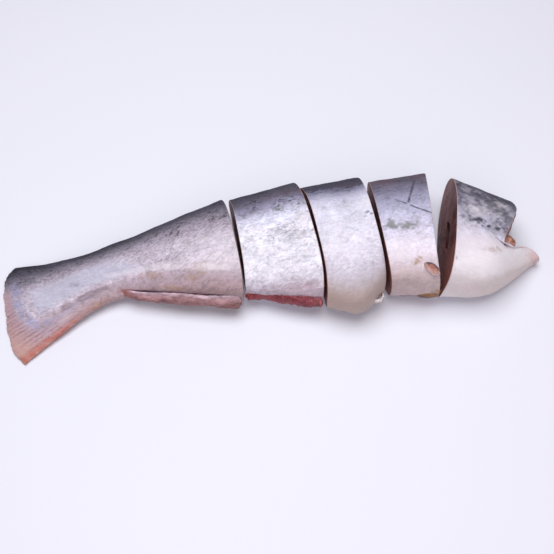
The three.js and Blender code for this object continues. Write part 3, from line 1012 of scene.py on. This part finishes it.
# %% Tail skin
TAIL_LENGTH = 168
TAIL_COUNT = 316
FRAYED = 9  # millimetres of the fin's edge that thin out
FIN_NOTCHES = [(-0.06, 2.2, 0.014), (-0.24, 1.6, 0.012), (-0.55, 1, 0.01)]  # at, deep, wide
shares = stations(TAIL_LENGTH, 0.72)
points, across, rise = loft(TAIL_RIBS, shares, TAIL_COUNT)
rim = (1 - shares)[:, None] * TAIL_LENGTH + 0 * across
edge = 1 - smooth(0, FRAYED, shares[:, None] * TAIL_LENGTH)
fray = 0.35 * (0.5 - 0.5 * np.cos(across * 23 * math.pi)) + 0.6 * swell(points, 5, 72)
fray = fray + sum(deep * np.exp(-(((across - at) / wide) ** 2)) for at, deep, wide in FIN_NOTCHES)
points[..., 0] += fray * edge**2
middle_height = points[..., 2].mean(1, keepdims=True)
points[..., 2] = blend(points[..., 2], middle_height * 0.9, 0.55 * edge)
on_fin = 1 - smooth(0.04, 0.2, shares)[:, None]
rays = 0.22 * np.cos(across * 15 * math.pi) * np.abs(rise) * on_fin
height = unevenness(points, 70) * (1 - 0.7 * on_fin) + rays
height += 0.6 * streak(points, RIDGE, 3.2, 4, 0.2) - 0.5 * streak(points, WRIST_GROOVE, 2, 12, 0.2)
skin_points = raise_skin(points, height, rim)

# %% [markdown]
# The wall is closed by a raw face at the cut, and along the fin's edge by a line of vertices at mid
# height, to which the upper and the lower skin both run.

# %% Tail piece
surface = Surface()
marks = tail_paint(points, across, shares[:, None] + 0 * across)
walls = surface.add(skin_points, across=across, rim=rim, **skin_map(points), **marks)
surface.span(walls)
close_cut(surface, TAIL_RIBS[-1], walls[-1], skin_points[-1], across[-1], rise[-1], 1, 71)
half = TAIL_COUNT // 2
brink = skin_points[0, : half + 1]
mid_line = np.stack([brink[:, 0] - 0.3, brink[:, 1], 0 * brink[:, 1] + middle_height[0] * 0.9], -1)
fin_edge = surface.add(mid_line, across=across[0, : half + 1], web=9.0, rim=150.0)
upper_side = np.vstack([fin_edge, walls[0, : half + 1]])
lower_side = np.vstack([fin_edge, np.append(walls[0, 0], walls[0, : half - 1 : -1])])
surface.span(upper_side, closed=False)
surface.span(lower_side[::-1], closed=False)
tail = surface.object("tail_piece_dressed", [tail_finish, flesh_finish])
settle(tail, "tail_piece")

# %% [markdown]
# ## The shoulder piece
# Its rear cut is the one raw face that shows, dark red with the empty belly cavity. In front the head
# came off on a slant, and the throat stayed on as a white tongue that thins to a pink tip. A straight
# blend between the rear rib and the line of the head cut gives the whole skin.


# %% Shoulder form
def head_cut_plan(across):
    last = len(HEAD_CUT) - 1
    k = np.clip(np.searchsorted(-HEAD_CUT[:, 0], -across, side="right") - 1, 0, last - 1)
    u = (HEAD_CUT[k, 0] - across) / (HEAD_CUT[k, 0] - HEAD_CUT[k + 1, 0])
    return spline(HEAD_CUT[:, 1:], (k + u) / last)


def shoulder_at(t, across, rise):
    rear_cut = on_rib(SHOULDER_CUT, across, rise)
    front_cut = head_cut_plan(across)
    x = blend(rear_cut[..., 0], front_cut[..., 0], t)
    on_throat = smooth(THROAT_ROOT, THROAT_TIP, x) * (1 - smooth(-0.3, 0.25, across))
    thick = blend(SHOULDER_CUT[4], HEAD_THICK, t) * blend(1, THROAT_TAPER, on_throat)
    bulge = np.maximum(0, np.sin(math.pi * t**0.95)) ** 1.5
    sag = THROAT_SAG * bulge * smooth(0.1, 1, -across)
    y = blend(rear_cut[..., 1], front_cut[..., 1], t) - sag
    return np.stack([x, y, np.maximum(0, thick * (REST + rise / 2))], -1)


# %% [markdown]
# ### Its skin and its stains
# Marbled slate over the back, a dark streak that runs down to the head cut, clean white throat, and a painted
# shadow along the throat's upper edge, where the block above shades it.

# %% Shoulder finish and paint
shoulder_skin = fish_skin("shoulder_skin", [
    (0.0, "#e4d5d2"), (0.06, "#ebe2e4"), (0.15, "#f2ecf2"), (0.3, "#e6dee8"), (0.44, "#d6d2e0"),
    (0.53, "#cbc7d9"), (0.62, "#b2aec1"), (0.73, "#888595"), (0.84, "#5e5c6a"), (1.0, "#403e4a"),
], seed=53, drift=0.45, cloudy=1.2, mottled=1.6, grainy=1.1, crinkled=0.2, lively=-0.22, calm=0.1)
SLATE_STREAK = [(128, 21, 47.5), (135, 19, 46.5), (142, 16.5, 45.5), (148, 14, 43.5), (153, 12, 42)]
KNIFE_SLIT = [(119.6, -8, 45.5), (119.2, -14.7, 44.8), (118, -20, 40)]
THROAT_SHADE_LINE = [(156, 5, 36), (163, 6.5, 31), (170, 10.5, 25), (177, 14, 18)]
WHITE_SPOTS = [
    (146, -14, 38, 30, 10, 0.6), (128, 2, 48, 9, 10, 0.35),
    (137, 27, 45, 12, 5, 0.4), (156, 36, 36, 6, 4, 0.35),
]


def shoulder_paint(points, across, t):
    dark = streak(points, SLATE_STREAK, 2.6, 22, 0.7) * smooth(-0.9, 0.3, swell(points, 2, 34))
    slit = streak(points, KNIFE_SLIT, 0.6, 25, 0.2)
    uneven = swell(points, 7, 26) + 0.8 * swell(points, 3, 27) + 0.7 * swell(points, 1.6, 33)
    on_back = smooth(-0.25, 0.25, across - 0.2 * t)
    clouds = smooth(0, 0.9, uneven) * on_back
    light = smooth(0.1, 1.1, -uneven) * on_back * smooth(1, 0.6, across)
    # painted shadow along the throat's upper edge, under the block
    throat_shade = streak(points, THROAT_SHADE_LINE, 0.8, 27, 0.2)
    return {
        "dusk": np.clip(0.8 * dark + 0.6 * slit + 0.5 * clouds + 0.5 * throat_shade, 0, 1),
        "moss": blots(points, [(152, 33, 38, 9, 6, 0.35), (158, 24, 38, 6, 5, 0.3)], 24),
        "ochre": blots(points, [(144, -4, 43, 8, 2.2, 0.4), (150, -2, 40.5, 4, 2, 0.5)], 28),
        "bruise": blots(points, [(158, 10, 38, 5, 5, 0.5)], 29),
        "pale": blots(points, WHITE_SPOTS, 30) + 0.22 * light,
        "rosy": blots(points, [(183, 10, 14, 15, 12, 0.4), (130, -24, 26, 16, 6, 0.1)], 31),
        "shift": blend(0.1, -0.14, t) + 0 * across,
    }


# %% [markdown]
# ### Its walls
# The walls run from the rear cut to the head cut, with the slate streak standing slightly proud.

# %% Shoulder skin
SHOULDER_LENGTH = 56
count = 330
shares = stations(SHOULDER_LENGTH, SKIN_SPACING)
around, up = outline(count, SHOULDER_CUT[5])
across, rise = (np.broadcast_to(v, (len(shares), count)) for v in (around, up))
points = shoulder_at(shares[:, None], across, rise)
rim = np.minimum(shares * 50, (1 - shares) * 60)[:, None] + 0 * across
height = unevenness(points, 80) + 0.35 * streak(points, SLATE_STREAK, 3, 22, 0.2)
skin_points = raise_skin(points, height, rim)
surface = Surface()
marks = shoulder_paint(points, across, shares[:, None])
walls = surface.add(skin_points, across=across, rim=rim, **skin_map(points), **marks)
surface.span(walls)
close_cut(surface, SHOULDER_CUT, walls[0], skin_points[0], around, up, -1, 81, CAVITY)

# %% [markdown]
# ### Its head cut
# The cut face is a curtain: each point on the upper rim is joined straight down to the one below it,
# and the rows between are sunk a little, as meat draws back from its skin.

# %% Head cut
half = count // 2
top_rim = skin_points[-1, : half + 1]
under = np.append(0, np.arange(count - 1, half - 1, -1))
drop = np.linspace(0, 1, 44)[1:-1, None, None]
curtain = blend(top_rim[1:-1], skin_points[-1, under[1:-1]], drop)
facing = np.gradient(top_rim[:, :2], axis=0)
facing = np.stack([-facing[:, 1], facing[:, 0], 0 * facing[:, 0]], -1)[1:-1]
facing /= -np.linalg.norm(facing, axis=-1, keepdims=True)
sunk = (0.5 * swell(curtain, 5, 82) + 0.2 * swell(curtain, 2, 83)) * np.sin(math.pi * drop[..., 0])
curtain = curtain - facing * (0.6 * np.sin(math.pi * drop[..., 0]) - sunk)[..., None]
near_rim = np.minimum(drop, 1 - drop)[..., 0] * (top_rim - skin_points[-1, under])[1:-1, 2]
throat = smooth(0.05, -0.25, around[1:half])
inner = surface.add(
    curtain, rim=near_rim, spine_back=(around[1:half] - SPINE) * 46, spine_side=(0.5 - drop[..., 0]) * 36,
    pale=0.9 * throat, rosy=0.45 * throat,
)
ends = [np.full((len(inner), 1), walls[-1, i]) for i in (0, half)]
grid = np.vstack([walls[-1, : half + 1], np.hstack([ends[0], inner, ends[1]]), walls[-1, under]])
surface.span(grid, kind=1, closed=False)
shoulder = surface.object("shoulder_piece_dressed", [shoulder_skin, flesh_finish])
settle(shoulder, "shoulder_piece")

# %% [markdown]
# ## Tubes: fin base and belly curl
# The raw base of the anal fin and the curl of belly skin are both a closed section drawn along a
# line, so one helper makes them. It bends the rings by a function and closes each end at a pole.


# %% Tube builder
def tube(name, steps, sides, place, finish, seed, relief=0.25, **marks):
    t = np.linspace(0, 1, steps + 1)[:, None] + np.zeros((1, sides))
    turn = np.arange(sides) / sides * math.tau + np.zeros((steps + 1, 1))
    points = place(t, turn)
    bumps = relief * (swell(points, 2.6, seed) + 0.5 * swell(points, 1.2, seed + 1))
    points = points + outward(points) * bumps[..., None]
    points[..., 2] = np.maximum(points[..., 2], 0)
    surface = Surface()
    on_skin = {"along": t * steps, "girth": abs(turn - math.pi) * 3}
    rings = surface.add(points, across=np.sin(turn), upper=np.cos(turn), run=t, **on_skin, **marks)
    poles = [surface.add(points[row].mean(0)[None], run=float(row != 0), **marks) for row in (0, -1)]
    surface.span(np.vstack([np.repeat(poles[0], sides), rings, np.repeat(poles[1], sides)]))
    return surface.object(name, [finish])


def fin_base(line, waves):
    """A ridge of cut fin base along a belly line, through points of x, y, z, half width and half height."""

    def place(t, turn):
        x, y, z, wide, high = np.moveaxis(spline(line, t), -1, 0)
        size = smooth(-0.02, 0.05, np.minimum(t, 1 - t)) * (1 + 0.1 * np.sin(t * waves * math.tau))
        out = np.cos(turn) * wide * size
        fold = 0.35 * np.cos(4 * turn + 3 * np.sin(5 * t))
        return np.stack([x, y + out, z + np.sin(turn) * high * size + 0.7 * out + fold], -1)

    return place


# %% [markdown]
# Raw fin base is stringy: its colour runs from the inner side to the outer one by the mark `upper`,
# with fine grain drawn out along it, and it darkens towards the ends where it dries.


# %% Fin base finish
def fin_base_finish(name, stops, seed, stretch=5, ends=1.0):
    raw = Finish(name)
    grain = raw.noise(1.1, seed, detail=2, stretch=(stretch, 1, 1), rough=0.6)
    mottle = raw.noise(4, seed + 2, detail=3, stretch=(2, 1, 1))
    run = raw.mark("run")
    place = raw.mark("upper") * 0.5 + 0.5 + (mottle - 0.5) * 0.6 + (grain - 0.5) * 0.25
    colour = raw.scaled(raw.ramp(place, stops), 1 + (grain - 0.5) * 1.1 + (mottle - 0.5) * 1.3)
    bruise = run.above(0.82, 0.9) * run.below(0.93, 1.0) * mottle.above(0.4, 0.6)
    colour = raw.mix(bruise * 0.7 * ends, colour, "#7c4a44")
    colour = raw.mix(run.below(0.02, 0.2) * 0.5 * ends, colour, "#9c4a3a")
    return raw.done(
        Base_Color=colour,
        Roughness=0.42 + (grain - 0.5) * 0.3,
        Specular_IOR_Level=0.25,
        Coat_Weight=0.1,
        Coat_Roughness=0.2,
        Subsurface_Weight=0.1,
        Subsurface_Scale=0.002,
        Normal=raw.bump(grain * 0.4 + mottle * 0.3),
    )


# %% [markdown]
# The two lengths of fin base are told by rows of x, y, z, half width and half height. The tail's has
# a pale lip of skin on its outer side, and the steak's is red raw all over.

# %% Fin bases
tail_base_finish = fin_base_finish("tail_fin_base", [
    (0.0, "#8e6466"), (0.25, "#a27a7c"), (0.45, "#ab8489"), (0.65, "#b79aa4"), (0.85, "#cab4c0"),
    (1.0, "#a8878c"),
], 61, stretch=3)
rear_base_finish = fin_base_finish("rear_fin_base", [
    (0.0, "#8a4c54"), (0.3, "#8f3d48"), (0.6, "#934550"), (0.8, "#a8666f"), (1.0, "#b98c96"),
], 63, stretch=1)
TAIL_BASE = [
    (-107, -19.4, 12.6, 1.2, 1.5),
    (-92, -23.2, 13.4, 2.5, 2.3),
    (-66, -25.8, 14.6, 2.9, 2.7),
    (-44, -28, 15, 3.2, 2.9),
    (-24, -28.8, 15, 3.2, 2.9),
]
REAR_BASE = [
    (-21.4, -22.4, 14.2, 2.5, 2.3),
    (-8, -23, 15, 2.6, 2.4),
    (6, -26.2, 15.8, 2.8, 2.5),
    (18, -28.4, 16.4, 2.9, 2.5),
    (31.4, -30, 17, 2.8, 2.4),
]
tail_base = tube("tail_fin_base", 130, 44, fin_base(TAIL_BASE, 2.5), tail_base_finish, 91, rim=9.0)
settle(tail_base, "tail_piece")
rear_base = tube("rear_fin_base", 90, 44, fin_base(REAR_BASE, 3), rear_base_finish, 93, relief=0.4, rim=9.0)
settle(rear_base, "rear_steak")

# %% [markdown]
# ## The belly curl
# A strip of belly skin that the knife lifted at the vent. It is the same tube, flattened and bent
# round a circle, with its free end drawn out to a point.

# %% Belly curl
CURL_AT = (68.2, -25.2, 17)
CURL_RADIUS = 4.2
CURL_SWEEP = np.radians((-175, 55))


def curl_place(t, turn):
    bend = blend(CURL_SWEEP[0], CURL_SWEEP[1], t)
    thin = 1 - 0.7 * smooth(0.7, 1, t)
    r = CURL_RADIUS + 0.9 * thin * np.cos(turn)
    z = CURL_AT[2] + 3.2 * np.sin(turn) * thin + 1.2 * smooth(0.6, 1, t)
    return np.stack([CURL_AT[0] + r * np.cos(bend), CURL_AT[1] + r * np.sin(bend), z], -1)


curl_finish = fish_skin("curl_skin", [
    (0.0, "#a39088"), (0.3, "#bba9a4"), (0.7, "#d6cac9"), (1.0, "#e2dadd"),
], seed=71, crinkled=0)
curl = tube("belly_curl", 60, 30, curl_place, curl_finish, 95, relief=0.15, rim=9.0)
settle(curl, "middle_steak")

# %% [markdown]
# ## Lobes: fin stump, belly scrap and throat membrane
# Three soft lumps of flesh stand on the pieces. Each starts as an egg of latitude rings, turned and
# tipped as it lies, and is worked over with relief and its own stains.


# %% Lobe builder
def lobe(name, at, size, turn, tip, finish, seed, relief, paint, rings=44, sides=72):
    polar = np.linspace(0, math.pi, rings + 2)[1:-1, None]
    turned = np.arange(sides) / sides * math.tau
    wide = np.sin(polar)
    ball = np.stack([np.cos(polar) + 0 * turned, wide * np.cos(turned), wide * np.sin(turned)], -1)
    a, b = math.radians(turn), math.radians(tip)
    level = np.array([[math.cos(b), 0, -math.sin(b)], [0, 1, 0], [math.sin(b), 0, math.cos(b)]])
    plan = np.array([[math.cos(a), -math.sin(a), 0], [math.sin(a), math.cos(a), 0], [0, 0, 1]])
    place = plan @ level
    half = np.array(size) / 2
    points = (ball * half) @ place.T + np.array(at)
    local = ball * half
    lift = relief(local) + 0.25 * swell(points, 3, seed) + 0.1 * swell(points, 1.3, seed + 1)
    points = points + (ball @ place.T) * lift[..., None]
    surface = Surface()
    on_skin = {"along": local[..., 0], "girth": local[..., 1] + local[..., 2]}
    grid = surface.add(points, across=ball[..., 2], rim=9.0, **on_skin, **paint(points, local))
    ends = [(np.array([s, 0, 0]) * half) @ place.T + np.array(at) for s in (1, -1)]
    poles = [surface.add(end[None], rim=9.0) for end in ends]
    surface.span(np.vstack([np.repeat(poles[0], sides), grid, np.repeat(poles[1], sides)]))
    return surface.object(name, [finish])


# %% [markdown]
# The stump is an arch of dark skin over orange-pink flesh. Both its relief and its paint need to know
# how near a point is to the rim of the arch, which is an oval on the lobe.

# %% Breast fin stump
stump_finish = fish_skin("stump_flesh", [
    (0.0, "#d8c8ca"), (0.6, "#d2bcbc"), (0.8, "#bd958b"), (1.0, "#ae8073"),
], seed=81, drift=0.1, cloudy=0.5)


def arch_place(local):
    """0 in the middle of the stump's arch, and 1 just outside it."""
    return np.hypot(local[..., 0] / 6.7, local[..., 1] / 3.9)


def stump_relief(local):
    rim_of_arch = arch_place(local)
    hollow = 0.8 * smooth(0.5, 0, np.hypot(local[..., 0] / 5.5 - 0.1, local[..., 1] / 2.8))
    return -0.9 - 0.6 * np.exp(-(((rim_of_arch - 0.66) / 0.12) ** 2)) * (local[..., 2] > 0) - hollow


def stump_paint(points, local):
    on_upper_side = smooth(-1.0, 1.5, local[..., 1] - 0.2 * local[..., 0])
    arch = np.exp(-(((arch_place(local) - 0.7) / 0.22) ** 2)) * on_upper_side
    return {
        "bruise": np.clip(1.3 * arch, 0, 1),
        "ochre": blots(points, [(95.5, -14.5, 43.5, 4, 3, 0.9)], 41),
        "blood": blots(points, [(104.9, -23.4, 42.4, 3, 2.2, 0.5), (103, -17, 44, 6, 2, 0.35)], 42),
        "dusk": np.clip(0.5 * arch + blots(points, [(98, -17, 45, 1.8, 1.4, 0.8)], 43), 0, 1),
    }


stump = lobe(
    "breast_fin_stump", at=(103.2, -17.4, 41.3), size=(15, 8.4, 8), turn=-36, tip=-14,
    finish=stump_finish, seed=97, relief=stump_relief, paint=stump_paint,
)
settle(stump, "front_steak")

# %% [markdown]
# The scrap is the ochre edge of the belly wall. The membrane is brown, with a pale rim where the gill
# cover was cut away. Neither has relief of its own beyond the lobe's soft bumps.

# %% Belly scrap and throat membrane
scrap_finish = fish_skin("scrap_flesh", [
    (0.0, "#4f3226"), (0.4, "#7a563f"), (0.7, "#8f684a"), (1.0, "#a5825f"),
], seed=83, cloudy=1.0)
membrane_finish = fish_skin("throat_membrane_skin", [
    (0.0, "#6a3828"), (0.45, "#944f38"), (0.75, "#ad6a52"), (1.0, "#b98a7c"),
], seed=85)


def no_relief(local):
    return 0 * local[..., 0]


def scrap_paint(points, local):
    return {"dusk": blots(points, [(100, -24, 15, 5, 1.6, 0.6)], 44)}


def membrane_paint(points, local):
    return {"pale": blots(points, [(166.5, 9, 26, 3, 4, 0.7)], 45)}


scrap = lobe(
    "belly_scrap", at=(104.5, -21, 15), size=(17, 7.5, 9), turn=4, tip=0,
    finish=scrap_finish, seed=99, relief=no_relief, paint=scrap_paint,
)
settle(scrap, "front_steak")
membrane = lobe(
    "throat_membrane", at=(158.5, 11, 25), size=(15, 13, 15), turn=30, tip=10,
    finish=membrane_finish, seed=101, relief=no_relief, paint=membrane_paint,
)
settle(membrane, "shoulder_piece")

# %% [markdown]
# ## Fin rays with Geometry Nodes
# Each ray is a thin rod under the fin's skin. Their paths fan out from the wrist, so they are laid as
# loose edges on the loft, with the radius of each point as a mark. The tree turns edges into curves
# and sweeps a circle along them: one tree, whose inputs set the rods' thickness and fineness.


# %% Ray tree
def group_input(tree, name, kind, value=None):
    socket = tree.interface.new_socket(name, in_out="INPUT", socket_type=kind)
    if value is not None:
        socket.default_value = value
    return socket.identifier


def rod_tree():
    group = bpy.data.node_groups.new("rods_along_edges", "GeometryNodeTree")
    names = {"paths": group_input(group, "Paths", "NodeSocketGeometry")}
    names["thickness"] = group_input(group, "Thickness", "NodeSocketFloat", 1.0)
    names["sides"] = group_input(group, "Sides", "NodeSocketInt", 6)
    names["finish"] = group_input(group, "Finish", "NodeSocketMaterial")
    group.interface.new_socket("Rods", in_out="OUTPUT", socket_type="NodeSocketGeometry")
    tree = Tree(group)
    given = [tree.node("NodeGroupInput", out=i) for i in range(4)]
    radius = tree.node("GeometryNodeInputNamedAttribute", {"data_type": "FLOAT"}, {"Name": "radius_mm"})
    curves = tree.node("GeometryNodeMeshToCurve", {}, {"Mesh": given[0]})
    section = tree.node("GeometryNodeCurvePrimitiveCircle", {}, {"Resolution": given[2], "Radius": MM})
    sizes = {"Scale": radius * given[1], "Fill Caps": True}
    rods = tree.node("GeometryNodeCurveToMesh", {}, {"Curve": curves, "Profile Curve": section, **sizes})
    soft = tree.node("GeometryNodeSetShadeSmooth", {}, {"Geometry": rods})
    whole = tree.node("GeometryNodeRealizeInstances", {}, {"Geometry": soft})
    dressed = tree.node("GeometryNodeSetMaterial", {}, {"Geometry": whole, "Material": given[3]})
    tree.node("NodeGroupOutput", {}, {0: dressed})
    return group, names


rod_group, rod_inputs = rod_tree()
print("rod tree has", len(rod_group.nodes), "nodes and the inputs", list(rod_inputs))

# %% [markdown]
# The tree runs as a modifier, whose inputs are set by their identifiers. Its result is then copied
# to a plain mesh, because a finished piece has to keep its shape without the tree.


# %% Paths and rods
def grown(piece, finish, thickness=1.0, sides=6):
    """Sweeps rods along a piece's edges and keeps the result as a plain mesh."""
    modifier = piece.modifiers.new(rod_group.name, "NODES")
    modifier.node_group = rod_group
    values = {"thickness": thickness, "sides": sides, "finish": finish}
    for key, value in values.items():
        modifier[rod_inputs[key]] = value
    evaluated = piece.evaluated_get(bpy.context.evaluated_depsgraph_get())
    mesh = bpy.data.meshes.new_from_object(evaluated)
    piece.modifiers.remove(modifier)
    piece.data = mesh
    print(f"{piece.name}: {len(mesh.vertices)} vertices from {rod_group.name}")


def laid_paths(name, paths, radii):
    """Loose edges along several paths, in millimetres, with each point's radius as a mark."""
    points = (np.concatenate(paths) - ROW_CENTRE) * MM
    starts = np.cumsum([0] + [len(p) for p in paths])
    edges = [(i, i + 1) for a, b in zip(starts[:-1], starts[1:]) for i in range(a, b - 1)]
    mesh = bpy.data.meshes.new(name)
    mesh.from_pydata(points.tolist(), edges, [])
    layer = mesh.attributes.new("radius_mm", "FLOAT", "POINT")
    layer.data.foreach_set("value", np.concatenate(radii).astype(np.float32))
    made = bpy.data.objects.new(name, mesh)
    bpy.context.scene.collection.objects.link(made)
    return made


# %% [markdown]
# The rays lie in the loft's upper skin at even steps across the fin. They sink under the flesh at
# the wrist and run a little past the web, where their tips make the frayed edge.

# %% Fin rays
RAY_COUNT = 12
RAY_POINTS = 36
ray_finish = fish_skin("fin_rays", [
    (0.0, "#b08078"), (0.3, "#b98f92"), (0.6, "#a99aa8"), (1.0, "#7b7884"),
], seed=91)
ray_paths, ray_radii = [], []
t = np.linspace(0.003, 0.13, RAY_POINTS)
outer = 1 - smooth(0, FRAYED, t * TAIL_LENGTH)
for ray in range(RAY_COUNT):
    at = blend(-0.93, -0.12, ray / (RAY_COUNT - 1)) + 0.012 * math.sin(5 * ray)
    column = on_rib(spline(TAIL_RIBS, t), np.full(RAY_POINTS, at), np.full(RAY_POINTS, np.sqrt(1 - at**2)))
    column[:, 2] = blend(column[:, 2], 1.25, 0.55 * outer) - 0.12 - 1.1 * smooth(0.08, 0.13, t)
    ray_paths.append(column)
    ray_radii.append(blend(0.16, 0.3, smooth(0, 0.1, t)))
rays_piece = laid_paths("fin_rays", ray_paths, ray_radii)
grown(rays_piece, ray_finish)
settle(rays_piece, "tail_piece")

# %% [markdown]
# The rear steak's fin base was cut through its rays, whose ends stand side by side as short red
# strokes. The same tree sweeps them: each path is a few points down the outer side of the fin base.

# %% Cut ray ends
STUB_STEP = 1.5
REAR_BASE_LENGTH = 53
stub_finish = fin_base_finish("ray_stubs", [
    (0.1, "#74303a"), (0.5, "#94444f"), (0.9, "#bd848e"),
], 67, stretch=1, ends=0.0)
stub_draw = np.random.default_rng(69)
stub_paths, stub_radii = [], []
place_on_base = fin_base(REAR_BASE, 3)
for run in np.arange(0.03, 0.98, STUB_STEP / REAR_BASE_LENGTH):
    steps = np.linspace(0, 1, 7)
    turn = blend(0.7, 2.9, steps) * stub_draw.uniform(0.7, 1.1) + stub_draw.uniform(-0.3, 0.4)
    t = run + stub_draw.uniform(-0.012, 0.012) + 0.02 * steps * stub_draw.uniform(0, 1)
    stub_paths.append(place_on_base(t, turn) + [0, 0.1, 0])
    stub_radii.append(stub_draw.uniform(0.15, 0.6) * np.sin(math.pi * blend(0.12, 0.88, steps)))
stubs = laid_paths("ray_stubs", stub_paths, stub_radii)
grown(stubs, stub_finish)
settle(stubs, "rear_steak")

# %% [markdown]
# ## Camera
# The photograph looks down at about 60 degrees from the belly side. The camera stands where the
# picture's middle falls on the drawing's own origin, which lies a few millimetres off the row's.

# %% Camera
LOOK_AT = Vector((0.00393, -0.00035, 0))
LENS_ANGLE = 32
LOOKS_DOWN = 60
DISTANCE = 0.6878
camera = bpy.data.objects.new("camera", bpy.data.cameras.new("camera"))
bpy.context.scene.collection.objects.link(camera)
camera.data.angle = math.radians(LENS_ANGLE)
tip = math.radians(LOOKS_DOWN)
camera.location = LOOK_AT + DISTANCE * Vector((0, -math.cos(tip), math.sin(tip)))
camera.rotation_euler = (LOOK_AT - camera.location).to_track_quat("-Z", "Y").to_euler()
bpy.context.scene.camera = camera
print("camera at", [round(v, 3) for v in camera.location])

# %% [markdown]
# ## Floor
# A plain, faintly lavender board, wide enough to fill every view. It lies a hair under the row, so
# that two faces never share one height.

# %% Floor
FLOOR_REACH = 3.0
FLOOR_HEIGHT = -0.0004
floor_finish = Finish("pale_board")
cloud = floor_finish.noise(160, 2, detail=1)
floor_material = floor_finish.done(Base_Color=floor_finish.mix(cloud, "#eceef8", "#eff1fa"), Roughness=0.55)
mesh = bpy.data.meshes.new("floor")
corners = [(x * FLOOR_REACH, y * FLOOR_REACH, FLOOR_HEIGHT) for x, y in ((-1, -1), (1, -1), (1, 1), (-1, 1))]
mesh.from_pydata(corners, [], [(0, 1, 2, 3)])
mesh.materials.append(floor_material)
floor = bpy.data.objects.new("floor", mesh)
bpy.context.scene.collection.objects.link(floor)

# %% [markdown]
# ## Light
# One large soft light stands almost overhead, so the shadows are short and blurred, and a weak one
# fills them from the camera's side. The pale world lifts what is left.


# %% Lights
def soft_light(name, place, size, power, colour):
    data = bpy.data.lights.new(name, "AREA")
    data.shape, data.size, data.energy = "DISK", size, power
    data.color = tone(colour)[:3]
    made = bpy.data.objects.new(name, data)
    made.location = place
    made.rotation_euler = (-Vector(place)).to_track_quat("-Z", "Y").to_euler()
    bpy.context.scene.collection.objects.link(made)
    return made


soft_light("window", (-0.05, 0.08, 1.15), 1.0, 11.6, "#fafaff")
soft_light("fill", (0.1, -0.9, 0.85), 1.0, 2.9, "#fdf8f8")
world = bpy.data.worlds.new("pale_room")
world.use_nodes = True
bpy.context.scene.world = world
world.node_tree.nodes["Background"].inputs["Color"].default_value = tone("#f6e9ea")
world.node_tree.nodes["Background"].inputs["Strength"].default_value = 0.24
bpy.context.scene.view_settings.view_transform = "Standard"
